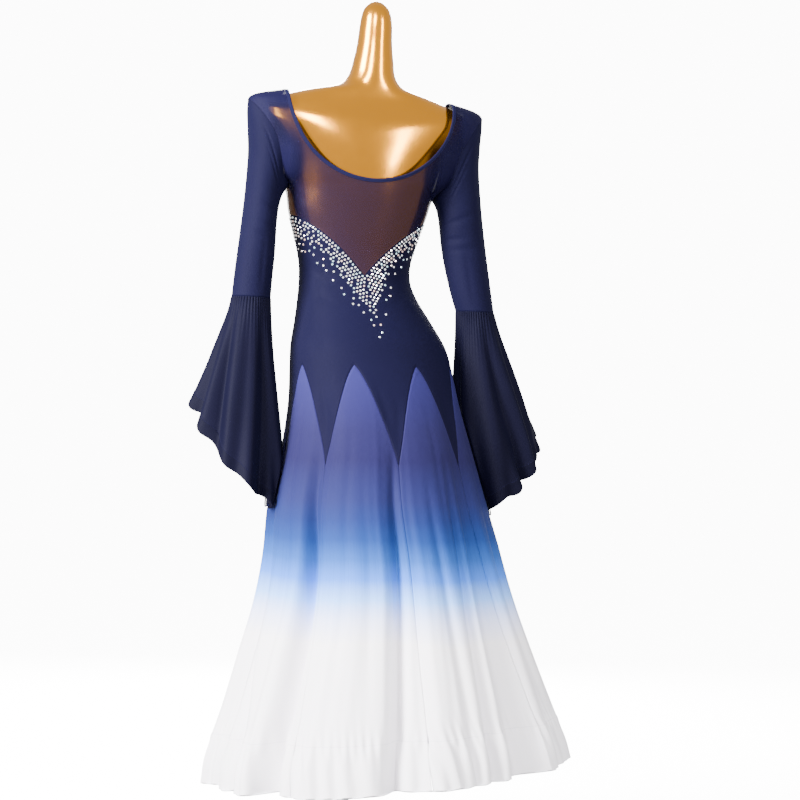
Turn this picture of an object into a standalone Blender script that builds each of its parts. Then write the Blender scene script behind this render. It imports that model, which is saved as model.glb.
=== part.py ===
"""A ballroom dance dress on a gold limbless dress form, with its post and round base.

The origin is at the centre of the base's underside, +Z is up, the back of the dress faces +Y and the
wearer's left is +X. Every cloth panel is a thin wall on one of three smooth surfaces: the body and skirt
of the garment, the sleeves, and the flounces. An angle round the body is measured from the centre back
towards the wearer's left.
"""

from functools import partial
from math import acos, asin, cos, exp, pi, radians, sin, sqrt

import bmesh
import bpy
from mathutils import Vector

# Cloth walls, seams and clearances
JERSEY = 0.0012
MESH_CLOTH = 0.0010
CHIFFON = 0.0010
ORGANZA = 0.0012
SEAM = 0.0004
FORM_CLEARANCE = 0.0009
HIP_EASE = 0.0043
HIP_EASE_TOP = 1.16
HIP_EASE_FALL = 0.12

# Step along a surface for its slope, and what counts as the same place
SLOPE_STEP = 1e-4
NEAR = 1e-6

# Stand
BASE_RADIUS = 0.200
BASE_HEIGHT = 0.014
BASE_EDGE = 0.003
FLANGE_RADIUS = 0.045
FLANGE_HEIGHT = 0.030
FLANGE_BEVEL = 0.004
FLANGE_FOOT = 0.003
SOCKET_WALL = 0.006
POST_RADIUS = 0.0125
BASE_STEPS = 40
POST_STEPS = 24
TOUCH = 0.0003

# Heights on the garment
HEM = 0.145
GODET_TIP = 0.927
PETAL_TIP = 0.735
UNDERARM = 1.275
SHOULDER_TIP = 1.441
NECK_TOP = 1.464

# Lower edge of the sheer yokes
BACK_POINT = 1.106
BACK_RISE = 0.95
BACK_BOW = 0.80
FRONT_POINT = 1.200
SIDE_REACH = 0.14

# Armhole: how far its edge comes in from the side seam, as an angle round the body, and the points
# round its edge, which are the sleeve's
ARMHOLE_REACH = radians(33)
ARMHOLE_MIDDLE = (SHOULDER_TIP + UNDERARM) / 2
ARMHOLE_HALF = (SHOULDER_TIP - UNDERARM) / 2
SLEEVE_COLUMNS = 18
ARMHOLE_STEP = 2 * pi / SLEEVE_COLUMNS

# Neckline: half ellipses that meet at the shoulders, whose lowest points are level with the second and
# the fourth points of the armhole
NECK_HALF_WIDTH = 0.166
NECK_DEPTH_BACK = NECK_TOP - ARMHOLE_MIDDLE + ARMHOLE_HALF * cos(2 * ARMHOLE_STEP)
NECK_DEPTH_FRONT = NECK_TOP - ARMHOLE_MIDDLE + ARMHOLE_HALF * cos(4 * ARMHOLE_STEP)

# Godets, and the body's radius where their seams and petal points run
GODETS = 8
SECTOR = 2 * pi / GODETS
TIP_CURVE = 0.65
PETAL_RADIUS = 0.165
GODET_SEAM_RADIUS = 0.20
GODET_COLUMNS = 8
GODET_ROWS = 12
VALLEY_ONSET = 1.5
FOLD_ONSET = 1.8

# Bodice and yokes, and the body's radius at the side and shoulder seams
BODICE_ROWS = 9
YOKE_COLUMNS = 8
YOKE_LOW_ROWS = 4
NECK_LOW_PARTS = (0.12, 0.24, 0.36)
SHOULDER_PARTS = (0.25, 0.5, 0.75, 1.0)
LEAST_ROW = 0.003
SIDE_RADIUS = 0.11
SHOULDER_RADIUS = 0.05

# Binding round the neck
BINDING_WIDTH = 0.0070
BINDING_BODY = 0.0024
BINDING_SINK = 0.0003

# Form: height, centre x, centre y, half width, depth behind the centre, depth before it, rise to the left
FORM_COLUMNS = 36
FORM_ROWS = (
    (0.7350, -0.030, 0.035, 0.0600, 0.050, 0.045, 0.00),
    (0.7400, -0.030, 0.035, 0.1050, 0.085, 0.075, 0.00),
    (0.7550, -0.030, 0.036, 0.1360, 0.108, 0.092, 0.00),
    (0.8000, -0.031, 0.038, 0.1530, 0.122, 0.102, 0.00),
    (0.8600, -0.032, 0.039, 0.1590, 0.127, 0.106, 0.00),
    (0.9200, -0.030, 0.037, 0.1580, 0.123, 0.104, 0.00),
    (0.9680, -0.025, 0.030, 0.1505, 0.114, 0.099, 0.00),
    (1.0160, -0.017, 0.018, 0.1330, 0.100, 0.093, 0.00),
    (1.0640, -0.007, 0.006, 0.1160, 0.088, 0.088, 0.00),
    (1.1000, -0.002, 0.000, 0.1090, 0.082, 0.086, 0.00),
    (1.1360, -0.001, 0.002, 0.1110, 0.084, 0.090, 0.00),
    (1.1840, -0.002, 0.006, 0.1235, 0.090, 0.104, 0.01),
    (1.2320, -0.003, 0.010, 0.1380, 0.096, 0.118, 0.02),
    (1.2800, -0.004, 0.015, 0.1470, 0.100, 0.120, 0.03),
    (1.3300, -0.005, 0.022, 0.1610, 0.100, 0.108, 0.03),
    (1.3750, -0.006, 0.029, 0.1880, 0.094, 0.092, 0.03),
    (1.4080, -0.007, 0.034, 0.2120, 0.083, 0.074, 0.03),
    (1.4330, -0.008, 0.037, 0.2120, 0.069, 0.058, 0.03),
    (1.4530, -0.009, 0.040, 0.1760, 0.058, 0.048, 0.03),
    (1.4690, -0.011, 0.043, 0.1250, 0.052, 0.044, 0.03),
    (1.4830, -0.015, 0.047, 0.0700, 0.047, 0.041, 0.03),
    (1.5030, -0.016, 0.050, 0.0480, 0.044, 0.040, 0.03),
    (1.5370, -0.018, 0.053, 0.0400, 0.039, 0.037, 0.03),
    (1.5700, -0.019, 0.056, 0.0350, 0.035, 0.034, 0.03),
    (1.6100, -0.020, 0.060, 0.0320, 0.032, 0.032, 0.03),
    (1.6350, -0.020, 0.061, 0.0260, 0.026, 0.026, 0.03),
    (1.6480, -0.020, 0.061, 0.0150, 0.015, 0.015, 0.03),
    (1.6530, -0.020, 0.061, 0.0040, 0.004, 0.004, 0.03),
)

# The same columns for the skirt, below the fitted body
SKIRT_ROWS = (
    (0.1450, -0.052, 0.130, 0.3680, 0.362, 0.300, -0.090),
    (0.1930, -0.051, 0.127, 0.3580, 0.347, 0.290, -0.080),
    (0.2860, -0.051, 0.119, 0.3240, 0.315, 0.265, -0.065),
    (0.3790, -0.050, 0.110, 0.2920, 0.280, 0.238, -0.050),
    (0.4720, -0.049, 0.101, 0.2600, 0.249, 0.213, -0.035),
    (0.5600, -0.045, 0.092, 0.2370, 0.225, 0.192, -0.022),
    (0.6600, -0.037, 0.080, 0.2170, 0.200, 0.168, -0.012),
    (0.7640, -0.037, 0.065, 0.1900, 0.172, 0.142, -0.005),
    (0.8500, -0.034, 0.050, 0.1720, 0.145, 0.122, 0.000),
)

# The same columns for the yokes above the underarm, wider than the form out to the shoulder caps
SHOULDER_ROWS = (
    (1.2750, -0.005, 0.015, 0.1505, 0.1030, 0.1230, 0.03),
    (1.3000, -0.006, 0.018, 0.1830, 0.1040, 0.1180, 0.03),
    (1.3300, -0.007, 0.022, 0.2060, 0.1030, 0.1110, 0.03),
    (1.3650, -0.008, 0.028, 0.2240, 0.0990, 0.0990, 0.03),
    (1.3950, -0.009, 0.033, 0.2350, 0.0915, 0.0860, 0.03),
    (1.4220, -0.009, 0.037, 0.2390, 0.0800, 0.0710, 0.03),
    (1.4410, -0.009, 0.039, 0.2390, 0.0680, 0.0580, 0.03),
    (1.4510, -0.009, 0.040, 0.2260, 0.0615, 0.0525, 0.03),
    (1.4580, -0.009, 0.042, 0.1980, 0.0575, 0.0490, 0.03),
    (1.4640, -0.009, 0.043, 0.1660, 0.0560, 0.0480, 0.03),
)

# Valleys under the petal points: angle at the petal, angle at the hem, half width, depth at the hem
VALLEYS = (
    (0, 8, 9.0, 0.120),
    (45, 52, 8.0, 0.150),
    (90, 88, 9.0, 0.120),
    (135, 138, 9.0, 0.110),
    (180, 178, 9.0, 0.120),
    (-135, -132, 9.0, 0.110),
    (-90, -84, 9.0, 0.120),
    (-45, -34, 8.0, 0.130),
)

# Softer folds within the godets: angle at the top, angle at the hem, height of the top, half width, depth
SOFT_FOLDS = (
    (14, 28, 0.70, 5.5, 0.020),
    (62, 72, 0.74, 6.0, 0.055),
    (-20, -14, 0.60, 5.0, 0.022),
    (-62, -55, 0.72, 6.0, 0.050),
    (-70, -66, 0.58, 5.0, 0.030),
    (112, 108, 0.66, 6.0, 0.040),
    (-112, -106, 0.68, 6.0, 0.045),
    (158, 160, 0.70, 6.0, 0.035),
    (-158, -154, 0.64, 6.0, 0.040),
)

# Sleeve: outer x and height, inner x and height, half depth, centre y
SLEEVE_ROWS = (
    (0.239, 1.441, 0.1505, 1.275, 0.0530, 0.030),
    (0.239, 1.418, 0.1570, 1.266, 0.0510, 0.030),
    (0.236, 1.380, 0.1640, 1.252, 0.0480, 0.030),
    (0.234, 1.340, 0.1690, 1.232, 0.0455, 0.030),
    (0.237, 1.285, 0.1720, 1.205, 0.0440, 0.031),
    (0.242, 1.230, 0.1740, 1.172, 0.0420, 0.032),
    (0.249, 1.170, 0.1770, 1.135, 0.0400, 0.034),
    (0.257, 1.105, 0.1830, 1.088, 0.0385, 0.037),
    (0.263, 1.050, 0.1880, 1.050, 0.0375, 0.040),
)
SLEEVE_RINGS = 11
SLEEVE_START = 0.02
SLEEVE_SETTLE = 3.5
ARM_CENTRE = -0.009
ARM_RISE = 0.03

# Arms: name, side, spread of the sleeve's end, shift of its inner line, lean of the flounce, least and
# greatest drop of the flounce
ARMS = (
    ("left", 1, 0.000, 0.005, 0.010, 0.170, 0.405),
    ("right", -1, 0.008, -0.012, 0.034, 0.215, 0.400),
)

# Flounce: part of the way to the hem, spread outwards, share of the folds' depth
FLOUNCE_ROWS = (
    (0.00, 0.000, 0.00),
    (0.16, 0.008, 0.14),
    (0.38, 0.022, 0.40),
    (0.62, 0.037, 0.66),
    (0.83, 0.049, 0.87),
    (1.00, 0.058, 1.00),
)

# Folds of the flounces: side, angle at the seam, angle at the hem, half width, depth at the hem
FLOUNCE_FOLDS = (
    (1, 34, 48, 11.0, 0.030),
    (1, 112, 104, 12.0, 0.028),
    (1, 12, 16, 9.0, 0.022),
    (1, -10, -14, 10.0, 0.024),
    (1, -38, -50, 12.0, 0.026),
    (1, -80, -92, 13.0, 0.028),
    (1, -125, -134, 12.0, 0.024),
    (1, 160, 166, 11.0, 0.022),
    (1, 76, 76, 10.0, 0.010),
    (-1, 84, 58, 12.0, 0.032),
    (-1, 40, 31, 9.0, 0.024),
    (-1, 10, 6, 9.0, 0.024),
    (-1, -18, -22, 10.0, 0.024),
    (-1, -50, -58, 12.0, 0.026),
    (-1, -92, -100, 13.0, 0.028),
    (-1, -135, -140, 12.0, 0.024),
    (-1, 158, 160, 11.0, 0.024),
    (-1, 122, 112, 14.0, 0.008),
)
FLOUNCE_COLUMNS = 72
FLOUNCE_FULL_ANGLE = radians(60)
FLOUNCE_FULL = 0.38
FLOUNCE_LONG_ANGLE = radians(140)
FLOUNCE_DROP_CURVE = 0.80
FLOUNCE_CLEAR = 0.0045
FLOUNCE_YIELD = 0.003

# Edges sharper than this stay sharp in the shading
CREASE_ANGLE = radians(50)

# Colours
GOLD = (0.64, 0.36, 0.10)
NAVY = (0.035, 0.04, 0.14)
SHEER = (0.05, 0.04, 0.09)
CHIFFON_NAVY = (0.025, 0.028, 0.095)
OMBRE = (0.45, 0.52, 0.78)
STEEL = (0.42, 0.38, 0.35)


def smooth(rows, at):
    """The columns of a table at a fractional row, along a curve through every row."""
    at = min(max(at, 0.0), len(rows) - 1.0)
    low = min(int(at), len(rows) - 2)
    part = at - low
    before = rows[max(low - 1, 0)]
    start = rows[low]
    end = rows[low + 1]
    after = rows[min(low + 2, len(rows) - 1)]
    values = []
    for p, a, b, n in zip(before, start, end, after):
        lead = (b - p) / 2 if low > 0 else b - a
        tail = (n - a) / 2 if low + 2 < len(rows) else b - a
        bend = 3 * (b - a) - 2 * lead - tail
        turn = 2 * (a - b) + lead + tail
        values.append(a + lead * part + bend * part**2 + turn * part**3)
    return values


def row_at(rows, height):
    """The fractional row of a table whose first column is a height."""
    low = 0.0
    high = len(rows) - 1.0
    for _ in range(40):
        middle = (low + high) / 2
        if smooth(rows, middle)[0] < height:
            low = middle
        else:
            high = middle
    return (low + high) / 2


def grown(row, by):
    """A section of the form, made larger all round."""
    return (*row[:3], row[3] + by, row[4] + by, row[5] + by, row[6])


def ease(height):
    """The cloth's clearance from the form, larger over the hips."""
    return FORM_CLEARANCE + HIP_EASE * min(1.0, max(0.0, (HIP_EASE_TOP - height) / HIP_EASE_FALL))


FITTED_ROWS = tuple(grown(row, ease(row[0])) for row in FORM_ROWS if 0.90 < row[0] < UNDERARM)
GARMENT_ROWS = (*SKIRT_ROWS, *FITTED_ROWS, *SHOULDER_ROWS)


def ring_point(row, angle, reach=1.0):
    """A point of an egg-shaped section, at this angle from the centre back."""
    height, centre_x, centre_y, half, behind, before, rise = row
    across = half * sin(angle) * reach
    depth = (behind if cos(angle) > 0 else before) * cos(angle) * reach
    return Vector((centre_x + across, centre_y + depth, height + rise * across))


def turn_between(angle, other):
    """The signed angle from one direction to another, the short way round."""
    return (angle - other + pi) % (2 * pi) - pi


def fold_reach(height, angle):
    """How far out of the plain section the skirt's cloth lies here, below the godet tips."""
    if height >= GODET_TIP:
        return 1.0
    down = (GODET_TIP - height) / (GODET_TIP - HEM)
    reach = 1.0
    for at_petal, at_hem, width, depth in VALLEYS:
        middle = radians(at_petal + (at_hem - at_petal) * down)
        away = turn_between(angle, middle) / radians(width)
        reach -= depth * min(1.0, VALLEY_ONSET * down) * exp(-away * away)
    for at_top, at_hem, top, width, depth in SOFT_FOLDS:
        if height < top:
            fall = (top - height) / (top - HEM)
            middle = radians(at_top + (at_hem - at_top) * fall)
            away = turn_between(angle, middle) / radians(width)
            reach -= depth * sin(min(1.0, FOLD_ONSET * fall) * pi / 2) * exp(-away * away)
    return reach


def garment_surface(at, angle):
    row = smooth(GARMENT_ROWS, at)
    return ring_point(row, angle, fold_reach(row[0], angle))


def garment_at(height):
    return row_at(GARMENT_ROWS, height)


def armhole_in(height):
    """The angle of the armhole's edge from the centre back, or of the side and shoulder seams."""
    off = (height - ARMHOLE_MIDDLE) / ARMHOLE_HALF
    return pi / 2 - ARMHOLE_REACH * sqrt(max(0.0, 1 - off * off))


def neckline_in(height, depth):
    """The angle of the neckline's edge from the centre, or nought below it."""
    down = (NECK_TOP - height) / depth
    if down >= 1:
        return 0.0
    half = smooth(GARMENT_ROWS, garment_at(height))[3]
    return asin(min(1.0, NECK_HALF_WIDTH * sqrt(max(0.0, 1 - down * down)) / half))


def yoke_curve(angle):
    """The height of the sheer yoke's lower edge: a V behind and a shallow dip in front."""
    across = abs(SIDE_REACH * sin(angle))
    side = BACK_POINT + BACK_RISE * SIDE_REACH - BACK_BOW * SIDE_REACH**2
    if cos(angle) >= 0:
        return BACK_POINT + BACK_RISE * across - BACK_BOW * across * across
    return FRONT_POINT + (side - FRONT_POINT) * sin(angle) ** 2


def yoke_edge(angle):
    """The same edge, straight between the yoke's columns, so that both its pieces meet along it."""
    step = pi / 2 / YOKE_COLUMNS
    low = int((angle % (2 * pi)) / step)
    part = (angle % (2 * pi)) / step - low
    return yoke_curve(low * step) * (1 - part) + yoke_curve((low + 1) * step) * part


def petal_edge(angle, off):
    """The height of the seam between bodice and godet, high at a godet's tip and low at a petal's.

    The edge lies off the seam, square to it, above it or (below nought) under it.
    """
    away = abs(turn_between(angle % SECTOR, SECTOR / 2)) / (SECTOR / 2)
    fall = GODET_TIP - PETAL_TIP
    slope = fall / TIP_CURVE * away ** (1 / TIP_CURVE - 1) / (SECTOR / 2 * PETAL_RADIUS)
    return GODET_TIP - fall * away ** (1 / TIP_CURVE) + off * sqrt(1 + slope * slope)


def armhole_edge(side, angle):
    """The armhole's edge, at the same angle as the sleeve's."""
    height = ARMHOLE_MIDDLE + ARMHOLE_HALF * cos(angle)
    round_body = pi / 2 - ARMHOLE_REACH * abs(sin(angle))
    if sin(angle) < 0:
        round_body = pi - round_body
    return garment_surface(garment_at(height), side * round_body)


def arm_point(side, across, behind, height):
    """A place given for the wearer's left arm, on the side asked for."""
    return Vector((ARM_CENTRE + side * across, behind, height + ARM_RISE * side * across))


def sleeve_section(arm, at, angle):
    _, side, spread, shift, *_ = arm
    outer_x, outer_z, inner_x, inner_z, depth, centre_y = smooth(SLEEVE_ROWS, at)
    down = at / (len(SLEEVE_ROWS) - 1)
    inner_x += shift * sin(pi * down)
    across = (outer_x + inner_x) / 2 + (outer_x - inner_x) / 2 * cos(angle)
    height = (outer_z + inner_z) / 2 + (outer_z - inner_z) / 2 * cos(angle)
    across += spread * down**2
    return arm_point(side, across, centre_y + depth * sin(angle), height)


def sleeve_surface(arm, at, angle):
    """A point of a sleeve. The angle is 0 at the shoulder tip, 90 degrees behind and 180 at the underarm."""
    point = sleeve_section(arm, at, angle)
    settle = max(0.0, 1 - at / SLEEVE_SETTLE) ** 2
    if settle > 0:
        point += (armhole_edge(arm[1], angle) - sleeve_section(arm, 0, angle)) * settle
    return point


def skirt_side(side, behind, height):
    """How far the garment reaches from the row's x = 0, on one side, at this place."""
    row = smooth(GARMENT_ROWS, garment_at(height))
    _, centre_x, centre_y, half, back, front, _ = row
    depth = (behind - centre_y) / (back if behind > centre_y else front)
    return side * centre_x + half * sqrt(max(0.0, 1 - depth * depth))


def flounce_surface(arm, at, angle):
    """A point of a flounce. The angle is 0 outwards from the body and 90 degrees behind."""
    _, side, _, _, lean, short, long = arm
    part, spread, share = smooth(FLOUNCE_ROWS, at)
    reach = spread * (1 + FLOUNCE_FULL * cos(angle - FLOUNCE_FULL_ANGLE))
    for fold_side, at_seam, at_hem, width, depth in FLOUNCE_FOLDS:
        if fold_side == side:
            away = turn_between(angle, radians(at_seam + (at_hem - at_seam) * part)) / radians(width)
            reach -= depth * share * exp(-away * away)
    seam = sleeve_section(arm, len(SLEEVE_ROWS) - 1, angle)
    low = ((1 + cos(angle - FLOUNCE_LONG_ANGLE)) / 2) ** FLOUNCE_DROP_CURVE
    drop = (short + (long - short) * low) * part + 2 * SEAM
    point = seam + Vector((side * (lean * part + cos(angle) * reach), sin(angle) * reach, -drop))
    limit = skirt_side(side, point.y, point.z) + FLOUNCE_CLEAR
    over = side * point.x - limit
    point.x = side * (limit + (over + sqrt(over * over + 4 * (FLOUNCE_YIELD * part) ** 2)) / 2)
    return point


def place_key(place):
    """The same for one place, however many turns its angle holds."""
    return round(place[0], 6), round(cos(place[1]), 6), round(sin(place[1]), 6)


def facing(surface, u, v, outward):
    """The surface's normal, turned to the side that outward gives (1 or -1)."""
    along = surface(u + SLOPE_STEP, v) - surface(u - SLOPE_STEP, v)
    across = surface(u, v + SLOPE_STEP) - surface(u, v - SLOPE_STEP)
    return (across.cross(along) * outward).normalized()


def make_object(name, mesh, colour, metallic=0.0, roughness=0.5):
    """Put a mesh in the dress's collection, with its own material."""
    material = bpy.data.materials.new(name)
    material.use_nodes = True
    shader = material.node_tree.nodes["Principled BSDF"]
    shader.inputs["Base Color"].default_value = (*colour, 1)
    shader.inputs["Metallic"].default_value = metallic
    shader.inputs["Roughness"].default_value = roughness
    mesh.materials.append(material)
    mesh.shade_smooth()
    mesh.set_sharp_from_angle(angle=CREASE_ANGLE)
    piece = bpy.data.objects.new(name, mesh)
    bpy.data.collections["dance_dress"].objects.link(piece)
    return piece


def armhole_normal(arm, angle):
    """The direction half way between the yoke's and the sleeve's, in which both walls end."""
    side = arm[1]
    height = ARMHOLE_MIDDLE + ARMHOLE_HALF * cos(angle)
    round_body = armhole_in(height)
    if sin(angle) < 0:
        round_body = pi - round_body
    yoke = facing(garment_surface, garment_at(height), side * round_body, -1)
    sleeve = facing(partial(sleeve_surface, arm), SLEEVE_START + SLOPE_STEP, angle, -side)
    return (yoke + sleeve).normalized()


def armhole_end(arm, front, height):
    """The point and direction in which the yoke ends at the armhole, straight between the sleeve's points."""
    off = max(-1.0, min(1.0, (height - ARMHOLE_MIDDLE) / ARMHOLE_HALF))
    step = min(int(acos(off) / ARMHOLE_STEP + NEAR), SLEEVE_COLUMNS // 2 - 1)
    found = []
    for turn in (step * ARMHOLE_STEP, (step + 1) * ARMHOLE_STEP):
        level = ARMHOLE_MIDDLE + ARMHOLE_HALF * cos(turn)
        angle = armhole_in(level) - SEAM / 2 / SHOULDER_RADIUS
        point = garment_surface(garment_at(level), arm[1] * (pi - angle if front else angle))
        found.append((cos(turn), point, armhole_normal(arm, -turn if front else turn)))
    (above, high, high_normal), (below, low, low_normal) = found
    part = (above - off) / (above - below)
    return high.lerp(low, part), high_normal.lerp(low_normal, part).normalized()


def add_wall(name, surface, quads, thickness, outward, colour, ends=None):
    """A closed wall of cloth, outwards from quads of (u, v) places on a surface.

    ends holds the point and the direction of the thickness at places where another piece joins it.
    """
    ends = ends or {}
    bm = bmesh.new()
    inner = {}
    outer = {}
    for quad in quads:
        for place in quad:
            key = place_key(place)
            if key in inner:
                continue
            point, normal = ends.get(key) or (surface(*place), facing(surface, *place, outward))
            inner[key] = bm.verts.new(point)
            outer[key] = bm.verts.new(point + normal * thickness)
    edges = {}
    for quad in quads:
        keys = []
        for place in quad:
            key = place_key(place)
            if key not in keys:
                keys.append(key)
        if len(keys) < 3:
            continue
        bm.faces.new([outer[key] for key in keys])
        bm.faces.new([inner[key] for key in reversed(keys)])
        for first, second in zip(keys, keys[1:] + keys[:1]):
            edges[first, second] = True
    for first, second in edges:
        if (second, first) not in edges:
            bm.faces.new((outer[second], outer[first], inner[first], inner[second]))
    bmesh.ops.remove_doubles(bm, verts=bm.verts, dist=NEAR)
    bmesh.ops.recalc_face_normals(bm, faces=bm.faces)
    mesh = bpy.data.meshes.new(name)
    bm.to_mesh(mesh)
    bm.free()
    return make_object(name, mesh, colour)


def grid(rows):
    """Quads between neighbouring rows of places."""
    quads = []
    for low, high in zip(rows, rows[1:]):
        for i in range(len(low) - 1):
            quads.append((low[i], low[i + 1], high[i + 1], high[i]))
    return quads


def yoke_rows(depth):
    """Heights of the yoke's rows above its lower part.

    They are those of the sleeve's points round the armhole, of the neckline's lowest stretch and of the
    shoulder, where the surface turns over.
    """
    heights = [
        ARMHOLE_MIDDLE - ARMHOLE_HALF * cos(ARMHOLE_STEP * k) for k in range(1, SLEEVE_COLUMNS // 2 + 1)
    ]
    extra = [NECK_TOP - depth * cos(part * pi / 2) for part in NECK_LOW_PARTS]
    extra += [SHOULDER_TIP + (NECK_TOP - SHOULDER_TIP) * part for part in SHOULDER_PARTS]
    heights += [new for new in extra if min(abs(new - height) for height in heights) > LEAST_ROW]
    return sorted(heights)


def add_yoke(name, front, depth):
    """A sheer yoke: a V or shallow lower edge, the scooped neckline and both armholes."""
    side_angle = pi / 2 - SEAM / 2 / SIDE_RADIUS
    quads = []
    ends = {}
    for arm in ARMS:
        side = arm[1]
        rows = []
        for i in range(YOKE_LOW_ROWS + 1):
            row = []
            for k in range(YOKE_COLUMNS + 1):
                angle = min(side_angle, pi / 2 * k / YOKE_COLUMNS)
                angle = side * (pi - angle if front else angle)
                edge = yoke_edge(angle) + SEAM / 2
                height = edge + (UNDERARM - edge) * i / YOKE_LOW_ROWS
                row.append((garment_at(height), angle))
            rows.append(row)
        ends[place_key(rows[-1][-1])] = armhole_end(arm, front, UNDERARM)
        for height in yoke_rows(depth):
            end = armhole_in(height) - SEAM / 2 / SHOULDER_RADIUS
            begin = min(neckline_in(height, depth), end - LEAST_ROW)
            row = []
            for k in range(YOKE_COLUMNS + 1):
                angle = begin + (end - begin) * k / YOKE_COLUMNS
                row.append((garment_at(height), side * (pi - angle if front else angle)))
            rows.append(row)
            if height < SHOULDER_TIP + NEAR:
                ends[place_key(row[-1])] = armhole_end(arm, front, height)
        quads += grid(rows if (side > 0) != front else [row[::-1] for row in rows])
    add_wall(name, garment_surface, quads, MESH_CLOTH, -1, SHEER, ends)


def add_bodice(name, front):
    """The opaque body below the yoke, with its petal points between the godets."""
    columns = GODETS * GODET_COLUMNS // 2
    start = pi / 2 if front else -pi / 2
    rows = []
    for i in range(BODICE_ROWS + 1):
        row = []
        for k in range(columns + 1):
            part = k / columns
            angle = start + pi * part
            if k in (0, columns):
                angle += SEAM / 2 / SIDE_RADIUS * (1 if k == 0 else -1)
            top = yoke_edge(angle) - SEAM / 2
            low = petal_edge(angle, SEAM / 2)
            row.append((garment_at(low + (top - low) * i / BODICE_ROWS), angle))
        rows.append(row)
    add_wall(name, garment_surface, grid(rows), JERSEY, -1, NAVY)


def add_godet(number):
    """One flared godet, from its pointed top to the hem."""
    middle = (number - 0.5) * SECTOR
    rows = []
    for i in range(GODET_ROWS + 1):
        row = []
        for k in range(GODET_COLUMNS + 1):
            angle = middle + SECTOR * (k / GODET_COLUMNS - 0.5)
            if k == 0:
                angle += SEAM / 2 / GODET_SEAM_RADIUS
            if k == GODET_COLUMNS:
                angle -= SEAM / 2 / GODET_SEAM_RADIUS
            top = petal_edge(angle, -SEAM / 2)
            height = HEM + (top - HEM) * i / GODET_ROWS
            row.append((garment_at(height), angle))
        rows.append(row)
    add_wall(f"godet_{number}", garment_surface, grid(rows), ORGANZA, -1, OMBRE)


def tube(rows, columns):
    """Quads round a tube at these rows."""
    places = [[(at, 2 * pi * k / columns) for k in range(columns)] for at in rows]
    return grid([row + [row[0]] for row in places])


def add_sleeve(arm):
    name, side, *_ = arm
    last = len(SLEEVE_ROWS) - 1
    rows = [SLEEVE_START + (last - SLEEVE_START) * i / SLEEVE_RINGS for i in range(SLEEVE_RINGS + 1)]
    surface = partial(sleeve_surface, arm)
    turns = [2 * pi * k / SLEEVE_COLUMNS for k in range(SLEEVE_COLUMNS)]
    ends = {
        place_key((SLEEVE_START, turn)): (surface(SLEEVE_START, turn), armhole_normal(arm, turn))
        for turn in turns
    }
    add_wall(f"sleeve_{name}", surface, tube(rows, SLEEVE_COLUMNS), JERSEY, -side, NAVY, ends)


def add_flounce(arm):
    name, side, *_ = arm
    rows = [float(i) for i in range(len(FLOUNCE_ROWS))]
    surface = partial(flounce_surface, arm)
    add_wall(f"flounce_{name}", surface, tube(rows, FLOUNCE_COLUMNS), CHIFFON, -side, CHIFFON_NAVY)


def neck_path():
    """Places on the garment along the neckline, round from the centre back by the left shoulder."""
    back = [height for height in yoke_rows(NECK_DEPTH_BACK) if height > NECK_TOP - NECK_DEPTH_BACK - NEAR]
    front = [height for height in yoke_rows(NECK_DEPTH_FRONT) if height > NECK_TOP - NECK_DEPTH_FRONT - NEAR]
    left = [(height, NECK_DEPTH_BACK, 0) for height in back]
    left += [(height, NECK_DEPTH_FRONT, pi) for height in reversed(front[:-1])]
    places = []
    for height, depth, middle in left:
        angle = neckline_in(height, depth)
        places.append((garment_at(height), abs(middle - angle)))
    right = [(at, -angle) for at, angle in reversed(places[1:-1])]
    return places + right


def add_binding():
    """The narrow folded binding, a flat closed loop just inside the neckline's edge."""
    places = neck_path()
    points = [garment_surface(*place) for place in places]
    normals = [facing(garment_surface, *place, -1) for place in places]
    count = len(places)
    bm = bmesh.new()
    rings = []
    for i in range(count):
        along = (points[(i + 1) % count] - points[i - 1]).normalized()
        normal = normals[i]
        inwards = along.cross(normal).normalized()
        start = points[i] + inwards * SEAM
        low = -BINDING_SINK
        section = (
            start + normal * low,
            start + normal * (low + BINDING_BODY),
            start + inwards * BINDING_WIDTH + normal * (low + BINDING_BODY),
            start + inwards * BINDING_WIDTH + normal * low,
        )
        rings.append([bm.verts.new(corner) for corner in section])
    for i in range(count):
        first = rings[i]
        second = rings[(i + 1) % count]
        for k in range(4):
            bm.faces.new((first[k], second[k], second[(k + 1) % 4], first[(k + 1) % 4]))
    bmesh.ops.recalc_face_normals(bm, faces=bm.faces)
    mesh = bpy.data.meshes.new("neck_binding")
    bm.to_mesh(mesh)
    bm.free()
    make_object("neck_binding", mesh, NAVY)


def add_dress_form():
    """The smooth form as one closed loft, flat underneath and rounded at the tip of its neck."""
    bm = bmesh.new()
    rings = []
    for row in FORM_ROWS:
        turns = [2 * pi * k / FORM_COLUMNS for k in range(FORM_COLUMNS)]
        rings.append([bm.verts.new(ring_point(row, turn)) for turn in turns])
    for low, high in zip(rings, rings[1:]):
        for k in range(FORM_COLUMNS):
            beside = (k + 1) % FORM_COLUMNS
            bm.faces.new((low[k], low[beside], high[beside], high[k]))
    bm.faces.new(rings[0])
    bm.faces.new(rings[-1])
    bmesh.ops.recalc_face_normals(bm, faces=bm.faces)
    mesh = bpy.data.meshes.new("dress_form")
    bm.to_mesh(mesh)
    bm.free()
    make_object("dress_form", mesh, GOLD, metallic=1.0, roughness=0.25)


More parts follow.
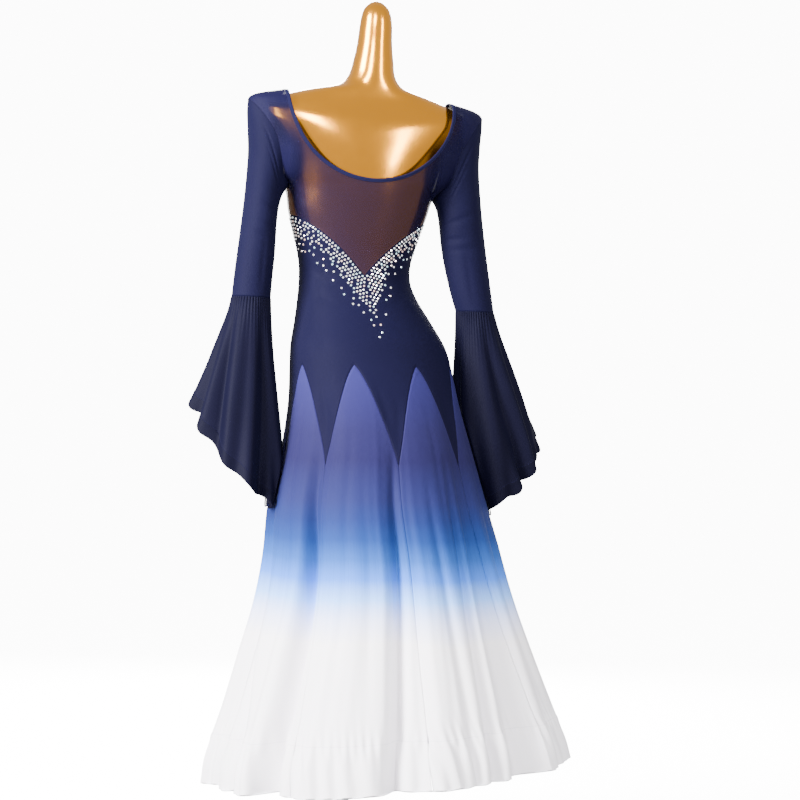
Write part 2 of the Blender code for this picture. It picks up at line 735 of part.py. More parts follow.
def add_turned(name, profile, steps):
    """A turned steel piece from a profile of radii and heights, from the top axis point down and out."""
    mesh = bpy.data.meshes.new(name)
    mesh.from_pydata([(r, 0, z) for r, z in profile], [(i, i + 1) for i in range(len(profile) - 1)], [])
    piece = make_object(name, mesh, STEEL, metallic=1.0, roughness=0.35)
    screw = piece.modifiers.new("turn", "SCREW")
    screw.steps = steps
    screw.render_steps = steps
    screw.use_merge_vertices = True
    screw.merge_threshold = 1e-5
    screw.use_smooth_shade = True


def add_stand():
    """A heavy round base with a socket, and the post up to the form's underside."""
    add_turned("stand_base", (
        (0, FLANGE_HEIGHT),
        (POST_RADIUS + SOCKET_WALL, FLANGE_HEIGHT),
        (POST_RADIUS + SOCKET_WALL + FLANGE_BEVEL, FLANGE_HEIGHT - FLANGE_BEVEL),
        (FLANGE_RADIUS, BASE_HEIGHT + FLANGE_FOOT),
        (FLANGE_RADIUS + FLANGE_FOOT, BASE_HEIGHT),
        (BASE_RADIUS - BASE_EDGE, BASE_HEIGHT),
        (BASE_RADIUS, BASE_HEIGHT - BASE_EDGE),
        (BASE_RADIUS, 0),
        (0, 0),
    ), BASE_STEPS)
    top = FORM_ROWS[0][0] - TOUCH
    add_turned("stand_post", (
        (0, top),
        (POST_RADIUS, top),
        (POST_RADIUS, FLANGE_HEIGHT + TOUCH),
        (0, FLANGE_HEIGHT + TOUCH),
    ), POST_STEPS)


def main():
    for old in list(bpy.data.objects):
        bpy.data.objects.remove(old)
    collection = bpy.data.collections.new("dance_dress")
    bpy.context.scene.collection.children.link(collection)
    add_dress_form()
    add_stand()
    add_yoke("back_yoke", False, NECK_DEPTH_BACK)
    add_yoke("front_yoke", True, NECK_DEPTH_FRONT)
    add_bodice("bodice_back", False)
    add_bodice("bodice_front", True)
    add_binding()
    for number in range(1, GODETS + 1):
        add_godet(number)
    for arm in ARMS:
        add_sleeve(arm)
        add_flounce(arm)


main()
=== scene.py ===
"""Looks of a ballroom dance dress on a gold limbless dress form.

Lengths are in metres. +Z is up, the back of the dress faces +Y and the wearer's left is +X. An angle round
the body is measured from the centre back towards the wearer's left.
"""

from functools import partial
from math import asin, atan, cos, exp, pi, radians, sin, sqrt
from random import Random

import bmesh
import bpy
from bpy.props import FloatProperty, FloatVectorProperty, IntProperty, PointerProperty
from mathutils import Matrix, Quaternion, Vector


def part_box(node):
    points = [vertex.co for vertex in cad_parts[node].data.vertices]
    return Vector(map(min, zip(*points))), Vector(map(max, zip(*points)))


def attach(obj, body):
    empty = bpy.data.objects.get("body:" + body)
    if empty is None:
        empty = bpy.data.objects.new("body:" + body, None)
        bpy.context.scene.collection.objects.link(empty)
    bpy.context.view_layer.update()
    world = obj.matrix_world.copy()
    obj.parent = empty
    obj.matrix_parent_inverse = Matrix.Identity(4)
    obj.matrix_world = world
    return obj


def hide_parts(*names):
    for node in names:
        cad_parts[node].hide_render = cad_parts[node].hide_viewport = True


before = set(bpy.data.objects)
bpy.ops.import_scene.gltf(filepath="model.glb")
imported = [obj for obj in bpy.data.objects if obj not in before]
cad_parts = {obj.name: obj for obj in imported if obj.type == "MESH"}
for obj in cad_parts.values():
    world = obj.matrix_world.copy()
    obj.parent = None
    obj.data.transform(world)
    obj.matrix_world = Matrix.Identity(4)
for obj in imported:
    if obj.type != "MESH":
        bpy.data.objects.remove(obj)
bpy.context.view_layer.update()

bl_info = {
    "name": "Ballroom dance dress",
    "version": (1, 0, 0),
    "blender": (4, 5, 0),
    "location": "View3D > Sidebar > Dress",
    "description": "Makes a ballroom dance dress on a dress form, piece by piece",
    "category": "Object",
}

# Heights on the garment
HEM = 0.145
GODET_TIP = 0.927
PETAL_TIP = 0.735
UNDERARM = 1.275
SHOULDER_TIP = 1.441
NECK_TOP = 1.464

# Clearance of the cloth from the form
FORM_CLEARANCE = 0.0009
HIP_EASE = 0.0043
HIP_EASE_TOP = 1.16
HIP_EASE_FALL = 0.12

# Lower edge of the sheer yokes
BACK_POINT = 1.106
BACK_RISE = 0.95
BACK_BOW = 0.80
FRONT_POINT = 1.200
SIDE_REACH = 0.14

# Armhole and neckline
ARMHOLE_REACH = radians(33)
ARMHOLE_MIDDLE = (SHOULDER_TIP + UNDERARM) / 2
ARMHOLE_HALF = (SHOULDER_TIP - UNDERARM) / 2
ARMHOLE_STEP = pi / 9
NECK_HALF_WIDTH = 0.166
NECK_DEPTH_BACK = NECK_TOP - ARMHOLE_MIDDLE + ARMHOLE_HALF * cos(2 * ARMHOLE_STEP)
NECK_DEPTH_FRONT = NECK_TOP - ARMHOLE_MIDDLE + ARMHOLE_HALF * cos(4 * ARMHOLE_STEP)

# Godets
GODETS = 8
SECTOR = 2 * pi / GODETS
TIP_CURVE = 1.9
TIP_SHARP = 0.35
VALLEY_ONSET = 1.5
FOLD_ONSET = 1.8

# Form: height, centre x, centre y, half width, depth behind the centre, depth before it, rise to the left
FORM_ROWS = (
    (0.7350, -0.030, 0.035, 0.0600, 0.050, 0.045, 0.00),
    (0.7400, -0.030, 0.035, 0.1050, 0.085, 0.075, 0.00),
    (0.7550, -0.030, 0.036, 0.1360, 0.108, 0.092, 0.00),
    (0.8000, -0.031, 0.038, 0.1530, 0.122, 0.102, 0.00),
    (0.8600, -0.032, 0.039, 0.1590, 0.127, 0.106, 0.00),
    (0.9200, -0.030, 0.037, 0.1580, 0.123, 0.104, 0.00),
    (0.9680, -0.025, 0.030, 0.1505, 0.114, 0.099, 0.00),
    (1.0160, -0.017, 0.018, 0.1330, 0.100, 0.093, 0.00),
    (1.0640, -0.007, 0.006, 0.1160, 0.088, 0.088, 0.00),
    (1.1000, -0.002, 0.000, 0.1090, 0.082, 0.086, 0.00),
    (1.1360, -0.001, 0.002, 0.1110, 0.084, 0.090, 0.00),
    (1.1840, -0.002, 0.006, 0.1235, 0.090, 0.104, 0.01),
    (1.2320, -0.003, 0.010, 0.1380, 0.096, 0.118, 0.02),
    (1.2800, -0.004, 0.015, 0.1470, 0.100, 0.120, 0.03),
    (1.3300, -0.005, 0.022, 0.1610, 0.100, 0.108, 0.03),
    (1.3750, -0.006, 0.029, 0.1880, 0.094, 0.092, 0.03),
    (1.4080, -0.007, 0.034, 0.2120, 0.083, 0.074, 0.03),
    (1.4330, -0.008, 0.037, 0.2120, 0.069, 0.058, 0.03),
    (1.4530, -0.009, 0.040, 0.1760, 0.058, 0.048, 0.03),
    (1.4690, -0.011, 0.043, 0.1250, 0.052, 0.044, 0.03),
    (1.4830, -0.015, 0.047, 0.0700, 0.047, 0.041, 0.03),
    (1.5030, -0.016, 0.050, 0.0480, 0.044, 0.040, 0.03),
    (1.5370, -0.018, 0.053, 0.0400, 0.039, 0.037, 0.03),
    (1.5700, -0.019, 0.056, 0.0350, 0.035, 0.034, 0.03),
    (1.6100, -0.020, 0.060, 0.0320, 0.032, 0.032, 0.03),
    (1.6350, -0.020, 0.061, 0.0260, 0.026, 0.026, 0.03),
    (1.6480, -0.020, 0.061, 0.0150, 0.015, 0.015, 0.03),
    (1.6530, -0.020, 0.061, 0.0040, 0.004, 0.004, 0.03),
)

# The same columns for the skirt
SKIRT_ROWS = (
    (0.1450, -0.052, 0.130, 0.3680, 0.362, 0.300, -0.090),
    (0.1930, -0.051, 0.127, 0.3580, 0.347, 0.290, -0.080),
    (0.2860, -0.051, 0.119, 0.3240, 0.315, 0.265, -0.065),
    (0.3790, -0.050, 0.110, 0.2920, 0.280, 0.238, -0.050),
    (0.4720, -0.049, 0.101, 0.2600, 0.249, 0.213, -0.035),
    (0.5600, -0.045, 0.092, 0.2370, 0.225, 0.192, -0.022),
    (0.6600, -0.037, 0.080, 0.2170, 0.200, 0.168, -0.012),
    (0.7640, -0.037, 0.065, 0.1900, 0.172, 0.142, -0.005),
    (0.8500, -0.034, 0.050, 0.1720, 0.145, 0.122, 0.000),
)

# The same columns for the yokes above the underarm
SHOULDER_ROWS = (
    (1.2750, -0.005, 0.015, 0.1505, 0.1030, 0.1230, 0.03),
    (1.3000, -0.006, 0.018, 0.1830, 0.1040, 0.1180, 0.03),
    (1.3300, -0.007, 0.022, 0.2060, 0.1030, 0.1110, 0.03),
    (1.3650, -0.008, 0.028, 0.2240, 0.0990, 0.0990, 0.03),
    (1.3950, -0.009, 0.033, 0.2350, 0.0915, 0.0860, 0.03),
    (1.4220, -0.009, 0.037, 0.2390, 0.0800, 0.0710, 0.03),
    (1.4410, -0.009, 0.039, 0.2390, 0.0680, 0.0580, 0.03),
    (1.4510, -0.009, 0.040, 0.2260, 0.0615, 0.0525, 0.03),
    (1.4580, -0.009, 0.042, 0.1980, 0.0575, 0.0490, 0.03),
    (1.4640, -0.009, 0.043, 0.1660, 0.0560, 0.0480, 0.03),
)

# Valleys under the petal points: angle at the petal, angle at the hem, half width, depth at the hem
VALLEYS = (
    (0, 8, 9.0, 0.120),
    (45, 52, 8.0, 0.150),
    (90, 88, 9.0, 0.120),
    (135, 138, 9.0, 0.110),
    (180, 178, 9.0, 0.120),
    (-135, -132, 9.0, 0.110),
    (-90, -84, 9.0, 0.120),
    (-45, -34, 8.0, 0.130),
)

# Softer folds within the godets: angle at the top, angle at the hem, height of the top, half width, depth
SOFT_FOLDS = (
    (14, 28, 0.70, 5.5, 0.020),
    (62, 72, 0.74, 6.0, 0.055),
    (-20, -14, 0.60, 5.0, 0.022),
    (-62, -55, 0.72, 6.0, 0.050),
    (-70, -66, 0.58, 5.0, 0.030),
    (112, 108, 0.66, 6.0, 0.040),
    (-112, -106, 0.68, 6.0, 0.045),
    (158, 160, 0.70, 6.0, 0.035),
    (-158, -154, 0.64, 6.0, 0.040),
)

# Finer flutes of the hanging cloth, with the same columns; a depth below nought is a ridge
FLUTES = (
    (20, 20, 0.80, 2.2, 0.010),
    (27, 35, 0.86, 2.6, 0.012),
    (24, 28, 0.46, 2.0, -0.008),
    (12, 15, 0.88, 1.8, -0.012),
    (33, 44, 0.62, 2.2, 0.014),
    (38, 47, 0.84, 1.9, -0.016),
    (-6, -3, 0.83, 2.0, -0.014),
    (-13, -8, 0.66, 2.0, 0.012),
    (-24, -21, 0.88, 2.4, 0.012),
    (-30, -26, 0.60, 2.0, -0.010),
    (-38, -29, 0.80, 2.0, 0.012),
    (54, 60, 0.82, 2.2, -0.014),
    (66, 66, 0.88, 2.2, 0.012),
    (74, 80, 0.70, 2.4, 0.014),
    (-50, -46, 0.76, 2.2, -0.014),
    (-58, -62, 0.84, 2.4, 0.012),
    (-76, -74, 0.80, 2.4, 0.014),
    (98, 96, 0.78, 2.4, 0.012),
    (118, 120, 0.84, 2.6, 0.012),
    (127, 129, 0.60, 2.2, -0.012),
    (145, 148, 0.76, 2.4, 0.014),
    (168, 170, 0.84, 2.4, -0.012),
    (-100, -98, 0.82, 2.4, 0.012),
    (-122, -124, 0.70, 2.4, 0.014),
    (-146, -142, 0.84, 2.4, 0.012),
    (-168, -170, 0.62, 2.4, -0.012),
    (43, 50, 0.76, 2.6, -0.034),
    (49, 57, 0.76, 3.6, 0.110),
    (3, 11, 0.78, 2.6, 0.075),
    (-1, 6, 0.76, 2.2, -0.020),
    (-30, -21, 0.76, 2.8, 0.075),
    (-15, -14, 0.72, 2.2, 0.030),
    (88, 72, 0.68, 3.4, 0.080),
    (136, 140, 0.74, 3.0, 0.045),
    (181, 176, 0.76, 3.0, 0.045),
    (-134, -130, 0.74, 3.0, 0.045),
    (-88, -80, 0.74, 3.0, 0.050),
)

# Creases of the fitted body: angle and height of both ends, half width, depth
BODY_CREASES = (
    (62, 1.120, 30, 1.100, 0.006, 0.0012),
    (70, 1.090, 38, 1.078, 0.007, -0.0011),
    (58, 1.060, 34, 1.052, 0.006, 0.0010),
    (-64, 1.118, -34, 1.104, 0.006, 0.0012),
    (-72, 1.082, -44, 1.070, 0.007, 0.0011),
    (-56, 1.050, -30, 1.044, 0.006, -0.0009),
    (8, 0.885, 2, 0.800, 0.007, 0.0016),
    (-4, 0.860, -1, 0.770, 0.006, 0.0015),
    (48, 0.880, 44, 0.790, 0.007, 0.0016),
    (-42, 0.880, -46, 0.790, 0.007, 0.0015),
    (118, 1.110, 150, 1.092, 0.007, 0.0012),
    (-122, 1.100, -150, 1.086, 0.007, 0.0012),
    (176, 0.870, 180, 0.780, 0.007, 0.0014),
    (72, 1.262, 44, 1.236, 0.007, 0.0011),
    (-70, 1.258, -46, 1.240, 0.006, 0.0011),
    (66, 1.400, 52, 1.352, 0.006, 0.0010),
    (-66, 1.402, -54, 1.350, 0.006, 0.0010),
    (-112, 1.330, -130, 1.280, 0.007, 0.0011),
    (110, 1.330, 132, 1.284, 0.007, 0.0011),
)

# Sleeve: outer x and height, inner x and height, half depth, centre y
SLEEVE_ROWS = (
    (0.239, 1.441, 0.1505, 1.275, 0.0530, 0.030),
    (0.239, 1.418, 0.1570, 1.266, 0.0510, 0.030),
    (0.236, 1.380, 0.1640, 1.252, 0.0480, 0.030),
    (0.234, 1.340, 0.1690, 1.232, 0.0455, 0.030),
    (0.237, 1.285, 0.1720, 1.205, 0.0440, 0.031),
    (0.242, 1.230, 0.1740, 1.172, 0.0420, 0.032),
    (0.249, 1.170, 0.1770, 1.135, 0.0400, 0.034),
    (0.257, 1.105, 0.1830, 1.088, 0.0385, 0.037),
    (0.263, 1.050, 0.1880, 1.050, 0.0375, 0.040),
)
SLEEVE_START = 0.02
SLEEVE_SETTLE = 3.5
ARM_CENTRE = -0.009
ARM_RISE = 0.03

# Sleeve creases: angle and row of both ends, half width, depth
SLEEVE_CREASES = (
    (60, 0.8, 130, 1.6, 0.007, 0.0018),
    (80, 1.6, 150, 2.4, 0.006, 0.0014),
    (150, 3.6, 70, 4.4, 0.007, 0.0018),
    (165, 4.4, 95, 5.1, 0.006, 0.0016),
    (140, 5.2, 60, 5.8, 0.007, 0.0014),
    (20, 2.0, 26, 6.8, 0.006, -0.0010),
    (100, 5.6, 104, 7.6, 0.006, 0.0012),
    (-60, 0.9, -130, 1.8, 0.007, 0.0018),
    (-150, 3.8, -80, 4.6, 0.007, 0.0018),
    (-140, 5.0, -70, 5.6, 0.006, 0.0014),
    (-100, 5.8, -96, 7.6, 0.006, 0.0012),
)

# Arms: name, side, spread of the sleeve's end, shift of its inner line, lean of the flounce, least and
# greatest drop of the flounce
ARMS = (
    ("left", 1, 0.000, 0.005, 0.010, 0.170, 0.405),
    ("right", -1, 0.008, -0.012, 0.034, 0.215, 0.400),
)

# Flounce: part of the way to the hem, spread outwards, share of the folds' depth
FLOUNCE_ROWS = (
    (0.00, 0.000, 0.00),
    (0.16, 0.008, 0.14),
    (0.38, 0.022, 0.40),
    (0.62, 0.037, 0.66),
    (0.83, 0.049, 0.87),
    (1.00, 0.058, 1.00),
)

# Folds of the flounces: side, angle at the seam, angle at the hem, half width, depth at the hem
FLOUNCE_FOLDS = (
    (1, 34, 48, 11.0, 0.030),
    (1, 112, 104, 12.0, 0.028),
    (1, 12, 16, 9.0, 0.022),
    (1, -10, -14, 10.0, 0.024),
    (1, -38, -50, 12.0, 0.026),
    (1, -80, -92, 13.0, 0.028),
    (1, -125, -134, 12.0, 0.024),
    (1, 160, 166, 11.0, 0.022),
    (1, 76, 76, 10.0, 0.010),
    (-1, 84, 58, 12.0, 0.032),
    (-1, 40, 31, 9.0, 0.024),
    (-1, 10, 6, 9.0, 0.024),
    (-1, -18, -22, 10.0, 0.024),
    (-1, -50, -58, 12.0, 0.026),
    (-1, -92, -100, 13.0, 0.028),
    (-1, -135, -140, 12.0, 0.024),
    (-1, 158, 160, 11.0, 0.024),
    (-1, 122, 112, 14.0, 0.008),
)
FLOUNCE_FULL_ANGLE = radians(60)
FLOUNCE_FULL = 0.38
FLOUNCE_LONG_ANGLE = radians(140)
FLOUNCE_DROP_CURVE = 0.80
FLOUNCE_CLEAR = 0.0045
FLOUNCE_YIELD = 0.003
FLOUNCE_GAP = 0.0008
GATHERS = 46
GATHER_HEIGHT = 0.0011
RUFFLES = 15
RUFFLE_HEIGHT = 0.0075
RUFFLE_LIFT = 0.0040

# Depth of the dense stone band below the yoke's edge, from the centre back out along the edge
BAND_ROWS = (
    (0.000, 0.100),
    (0.004, 0.086),
    (0.010, 0.073),
    (0.030, 0.064),
    (0.050, 0.056),
    (0.090, 0.044),
    (0.200, 0.042),
)

# How far the cloth's face stands off its surface, seams and the body's radius for distances round it
CLOTH_OUT = 0.0011
SEAM_DEPTH = 0.0010
SEAM_WIDTH = 0.0024
SEAM_ROLL = 0.0013
BODY_RADIUS = 0.125
PETAL_SLANT = 0.55
EDGE_SLANT = 0.75
YOKE_SPLIT = 0.30
SLOPE_STEP = 2e-4
WELD = 1e-6
CLOTH_GLOSS = 0.03
FLOUNCE_HEM = 0.024

# Rows of the close stones: how many, the first one's depth below the edge, and the step in pitches
STONE_ROWS = 13
STONE_START = 0.0045
STONE_ROW_STEP = 0.88

# Unevenness of the stones: past the middle, of the band's lower edge and of each place
STONE_PAST_MIDDLE = 0.002
STONE_UNEVEN = 0.10
STONE_JITTER = 0.0005

# Least distance between stones, as a share of the pitch: in the band and among the strays
STONE_APART = 0.84
STRAY_APART = 1.45

# Strays: their spread to each side, how far below the band they start and reach, what the reach loses
# at the sides, and how they crowd towards the band
STRAY_SPREAD = 1.5
STRAY_START = 0.005
STRAY_REACH = 0.034
STRAY_LOSS = 0.016
STRAY_CROWDING = 1.2

# Shape of a stone, as shares of its radius: how deep it sits, its flat top and its height, and its tilt
STONE_SEAT = 0.22
STONE_TABLE = 0.52
STONE_HEIGHT = 0.62
STONE_TILT = 0.10

# Meshes: columns round and rows up
FORM_COLUMNS = 96
YOKE_GRID = (121, 130)
BODICE_GRID = (128, 90)
GODET_GRID_BACK = (96, 120)
GODET_GRID_FRONT = (64, 84)

# Hem band: how far it stands out, and the height, length and reach of its ripples and of the puckers above it
BAND_STEP = 0.0008
RIPPLE = 0.0036
RIPPLE_LENGTH = 0.046
RIPPLE_REACH = 0.03
PUCKER = 0.0020
PUCKER_LENGTH = 0.017
PUCKER_REACH = 0.016

# Neck binding, and its section as parts of its half width and half thickness
BINDING_WIDTH = 0.0074
BINDING_HALF = 0.0014
BINDING_OUT = 0.0010
BINDING_PROFILE = (
    (-1.00, 0.00), (-0.98, 0.62), (-0.84, 0.96), (-0.55, 1.00), (-0.40, 0.66), (-0.24, 1.00), (0.30, 1.04),
    (0.78, 0.92), (0.97, 0.55), (1.00, -0.20), (0.80, -0.90), (-0.80, -0.90),
)

# Sheer mesh: how much it hides, what the weave and the doubled places add, and those places: distance from
# the middle where one starts and is full, and the height where it starts and is full
MESH_ALPHA = 0.67
MESH_WEAVE = 0.04
MESH_DOUBLED = 0.30
DOUBLED_MESH = (
    (0.185, 0.200, 0.000, 0.100),
    (0.138, 0.156, 1.390, 1.350),
    (0.150, 0.165, 1.425, 1.440),
)

# Floor and white surround
FLOOR_RADIUS = 14.0
FLOOR_LEVEL = -0.0005
SKY_LIGHT = 1.10
SKY_SEEN = 12.0
FLOOR_GLOW = 11.0
LIGHT_AIM = (0.0, 0.03, 0.95)

# Ombre dye: height and colour, from navy blue through sky blue to white
OMBRE_STOPS = (
    (0.400, (0.88, 0.845, 0.89)),
    (0.440, (0.62, 0.66, 0.92)),
    (0.480, (0.20, 0.40, 0.88)),
    (0.518, (0.042, 0.155, 0.60)),
    (0.555, (0.019, 0.077, 0.30)),
    (0.593, (0.0115, 0.036, 0.160)),
    (0.630, (0.0125, 0.0220, 0.102)),
    (0.668, (0.0138, 0.0165, 0.074)),
    (0.745, (0.0115, 0.0100, 0.044)),
    (0.800, (0.0128, 0.0112, 0.048)),
    (0.900, (0.0180, 0.0165, 0.080)),
)

# Camera: the angle from the centre back, distance, height, focal length and tilt, as in the photograph
CAMERA_TURN = radians(15)
CAMERA_DISTANCE = 5.0
CAMERA_HEIGHT = 0.76
CAMERA_ASIDE = 0.098
CAMERA_LENS = 112.5
CAMERA_PITCH = atan(52 / 2500)
CAMERA_ROLL = radians(1.2)

# Soft lights: name, angle from the camera to its left, height, distance, width, height of the panel, power
LIGHTS = (
    ("key", 50, 1.9, 2.8, 1.0, 2.0, 670.0),
    ("window", 6, 2.7, 3.4, 0.7, 1.1, 170.0),
    ("strip", -48, 1.8, 3.2, 0.35, 1.8, 100.0),
    ("front", 178, 2.2, 3.4, 1.6, 2.0, 440.0),
)


def smooth(rows, at):
    """The columns of a table at a fractional row, along a curve through every row."""
    at = min(max(at, 0.0), len(rows) - 1.0)
    low = min(int(at), len(rows) - 2)
    part = at - low
    before = rows[max(low - 1, 0)]
    start = rows[low]
    end = rows[low + 1]
    after = rows[min(low + 2, len(rows) - 1)]
    values = []
    for p, a, b, n in zip(before, start, end, after):
        lead = (b - p) / 2 if low > 0 else b - a
        tail = (n - a) / 2 if low + 2 < len(rows) else b - a
        bend = 3 * (b - a) - 2 * lead - tail
        turn = 2 * (a - b) + lead + tail
        values.append(a + lead * part + bend * part**2 + turn * part**3)
    return values


def straight(rows, at):
    """The second column of a table where its first column is at, in straight steps."""
    for (low, a), (high, b) in zip(rows, rows[1:]):
        if at <= high:
            return a + (b - a) * max(0.0, at - low) / (high - low)
    return rows[-1][1]


def ease(height):
    """The cloth's clearance from the form, larger over the hips."""
    return FORM_CLEARANCE + HIP_EASE * min(1.0, max(0.0, (HIP_EASE_TOP - height) / HIP_EASE_FALL))


def grown(row):
    """A section of the form, made larger all round by the cloth's ease."""
    by = ease(row[0])
    return (*row[:3], row[3] + by, row[4] + by, row[5] + by, row[6])


FITTED_ROWS = tuple(grown(row) for row in FORM_ROWS if 0.90 < row[0] < UNDERARM)
GARMENT_ROWS = (*SKIRT_ROWS, *FITTED_ROWS, *SHOULDER_ROWS)
STEPS_A_ROW = 60
LEVELS = STEPS_A_ROW * (len(GARMENT_ROWS) - 1) + 1
GARMENT_LEVELS = [smooth(GARMENT_ROWS, i / STEPS_A_ROW)[0] for i in range(LEVELS)]


def garment_at(height):
    """The fractional row of the garment at a height."""
    low = 0
    high = len(GARMENT_LEVELS) - 1
    if height <= GARMENT_LEVELS[0]:
        return 0.0
    while high - low > 1:
        middle = (low + high) // 2
        if GARMENT_LEVELS[middle] < height:
            low = middle
        else:
            high = middle
    part = (height - GARMENT_LEVELS[low]) / (GARMENT_LEVELS[high] - GARMENT_LEVELS[low])
    return (low + min(1.0, part)) / STEPS_A_ROW


def ring_point(row, angle, reach=1.0):
    """A point of an egg-shaped section, at this angle from the centre back."""
    height, centre_x, centre_y, half, behind, before, rise = row
    across = half * sin(angle) * reach
    depth = (behind if cos(angle) > 0 else before) * cos(angle) * reach
    return Vector((centre_x + across, centre_y + depth, height + rise * across))


def turn_between(angle, other):
    """The signed angle from one direction to another, the short way round."""
    return (angle - other + pi) % (2 * pi) - pi


def folds(table, height, angle):
    """How far a table's folds bring the cloth in here."""
    depth_here = 0.0
    for at_top, at_hem, top, width, depth in table:
        if height < top:
            fall = (top - height) / (top - HEM)
            away = turn_between(angle, radians(at_top + (at_hem - at_top) * fall)) / radians(width)
            if abs(away) < 3:
                depth_here += depth * sin(min(1.0, FOLD_ONSET * fall) * pi / 2) * exp(-away * away)
    return depth_here


def fold_reach(height, angle, fine):
    """How far out of the plain section the skirt's cloth lies here, below the godet tips."""
    if height >= GODET_TIP:
        return 1.0
    down = (GODET_TIP - height) / (GODET_TIP - HEM)
    reach = 1.0 - folds(SOFT_FOLDS, height, angle)
    if fine:
        reach -= folds(FLUTES, height, angle)
    for at_petal, at_hem, width, depth in VALLEYS:
        away = turn_between(angle, radians(at_petal + (at_hem - at_petal) * down)) / radians(width)
        reach -= depth * min(1.0, VALLEY_ONSET * down) * exp(-away * away)
    return reach


def garment_surface(height, angle, fine=True):
    row = smooth(GARMENT_ROWS, garment_at(height))
    return ring_point(row, angle, fold_reach(row[0], angle, fine))


def armhole_in(height):
    """The angle of the armhole's edge from the centre back."""
    off = (height - ARMHOLE_MIDDLE) / ARMHOLE_HALF
    return pi / 2 - ARMHOLE_REACH * sqrt(max(0.0, 1 - off * off))


def neckline_in(height, depth):
    """The angle of the neckline's edge from the centre, or nought below it."""
    down = (NECK_TOP - height) / depth
    if down >= 1:
        return 0.0
    half = smooth(GARMENT_ROWS, garment_at(height))[3]
    return asin(min(1.0, NECK_HALF_WIDTH * sqrt(max(0.0, 1 - down * down)) / half))


def yoke_edge(angle):
    """The height of the sheer yoke's lower edge: a V behind and a shallow dip in front."""
    across = abs(SIDE_REACH * sin(angle))
    side = BACK_POINT + BACK_RISE * SIDE_REACH - BACK_BOW * SIDE_REACH**2
    if cos(angle) >= 0:
        return BACK_POINT + BACK_RISE * across - BACK_BOW * across * across
    return FRONT_POINT + (side - FRONT_POINT) * sin(angle) ** 2


def petal_edge(angle):
    """The height of the seam between bodice and godet, high at a godet's tip and low at a petal's."""
    away = abs(turn_between(angle % SECTOR, SECTOR / 2)) / (SECTOR / 2)
    fall = TIP_SHARP * away + (1 - TIP_SHARP) * away**TIP_CURVE
    return GODET_TIP - (GODET_TIP - PETAL_TIP) * fall


def armhole_edge(side, angle):
    """The armhole's edge, at the same angle as the sleeve's."""
    height = ARMHOLE_MIDDLE + ARMHOLE_HALF * cos(angle)
    round_body = pi / 2 - ARMHOLE_REACH * abs(sin(angle))
    if sin(angle) < 0:
        round_body = pi - round_body
    return garment_surface(height, side * round_body)


def arm_point(side, across, behind, height):
    """A place given for the wearer's left arm, on the side asked for."""
    return Vector((ARM_CENTRE + side * across, behind, height + ARM_RISE * side * across))


def sleeve_section(arm, at, angle):
    _, side, spread, shift, *_ = arm
    outer_x, outer_z, inner_x, inner_z, depth, centre_y = smooth(SLEEVE_ROWS, at)
    down = at / (len(SLEEVE_ROWS) - 1)
    inner_x += shift * sin(pi * down)
    across = (outer_x + inner_x) / 2 + (outer_x - inner_x) / 2 * cos(angle)
    height = (outer_z + inner_z) / 2 + (outer_z - inner_z) / 2 * cos(angle)
    across += spread * down**2
    return arm_point(side, across, centre_y + depth * sin(angle), height)


def sleeve_surface(arm, at, angle):
    """A point of a sleeve. The angle is 0 at the shoulder tip, 90 degrees behind and 180 at the underarm."""
    point = sleeve_section(arm, at, angle)
    settle = max(0.0, 1 - at / SLEEVE_SETTLE) ** 2
    if settle > 0:
        point += (armhole_edge(arm[1], angle) - sleeve_section(arm, 0, angle)) * settle
    return point


def skirt_side(side, behind, height):
    """How far the garment reaches from the row's x = 0, on one side, at this place."""
    row = smooth(GARMENT_ROWS, garment_at(height))
    _, centre_x, centre_y, half, back, front, _ = row
    depth = (behind - centre_y) / (back if behind > centre_y else front)
    return side * centre_x + half * sqrt(max(0.0, 1 - depth * depth))


def flounce_drop(arm, angle):
    """How far below its seam the flounce's hem hangs."""
    *_, short, long = arm
    return short + (long - short) * ((1 + cos(angle - FLOUNCE_LONG_ANGLE)) / 2) ** FLOUNCE_DROP_CURVE


def flounce_surface(arm, at, angle):
    """A point of a flounce. The angle is 0 outwards from the body and 90 degrees behind."""
    _, side, _, _, lean, *_ = arm
    part, spread, share = smooth(FLOUNCE_ROWS, at)
    reach = spread * (1 + FLOUNCE_FULL * cos(angle - FLOUNCE_FULL_ANGLE))
    for fold_side, at_seam, at_hem, width, depth in FLOUNCE_FOLDS:
        if fold_side == side:
            away = turn_between(angle, radians(at_seam + (at_hem - at_seam) * part)) / radians(width)
            reach -= depth * share * exp(-away * away)
    reach += GATHER_HEIGHT * sin(GATHERS * angle + 2 * sin(3 * angle)) * exp(-part / 0.11)
    ruffle = RUFFLES * angle + 2.5 * sin(2 * angle + side)
    reach += RUFFLE_HEIGHT * sin(ruffle) * part**4
    seam = sleeve_section(arm, len(SLEEVE_ROWS) - 1, angle)
    drop = flounce_drop(arm, angle) * part + FLOUNCE_GAP - RUFFLE_LIFT * cos(ruffle) * part**4
    point = seam + Vector((side * (lean * part + cos(angle) * reach), sin(angle) * reach, -drop))
    limit = skirt_side(side, point.y, point.z) + FLOUNCE_CLEAR
    over = side * point.x - limit
    point.x = side * (limit + (over + sqrt(over * over + 4 * (FLOUNCE_YIELD * part) ** 2)) / 2)
    return point


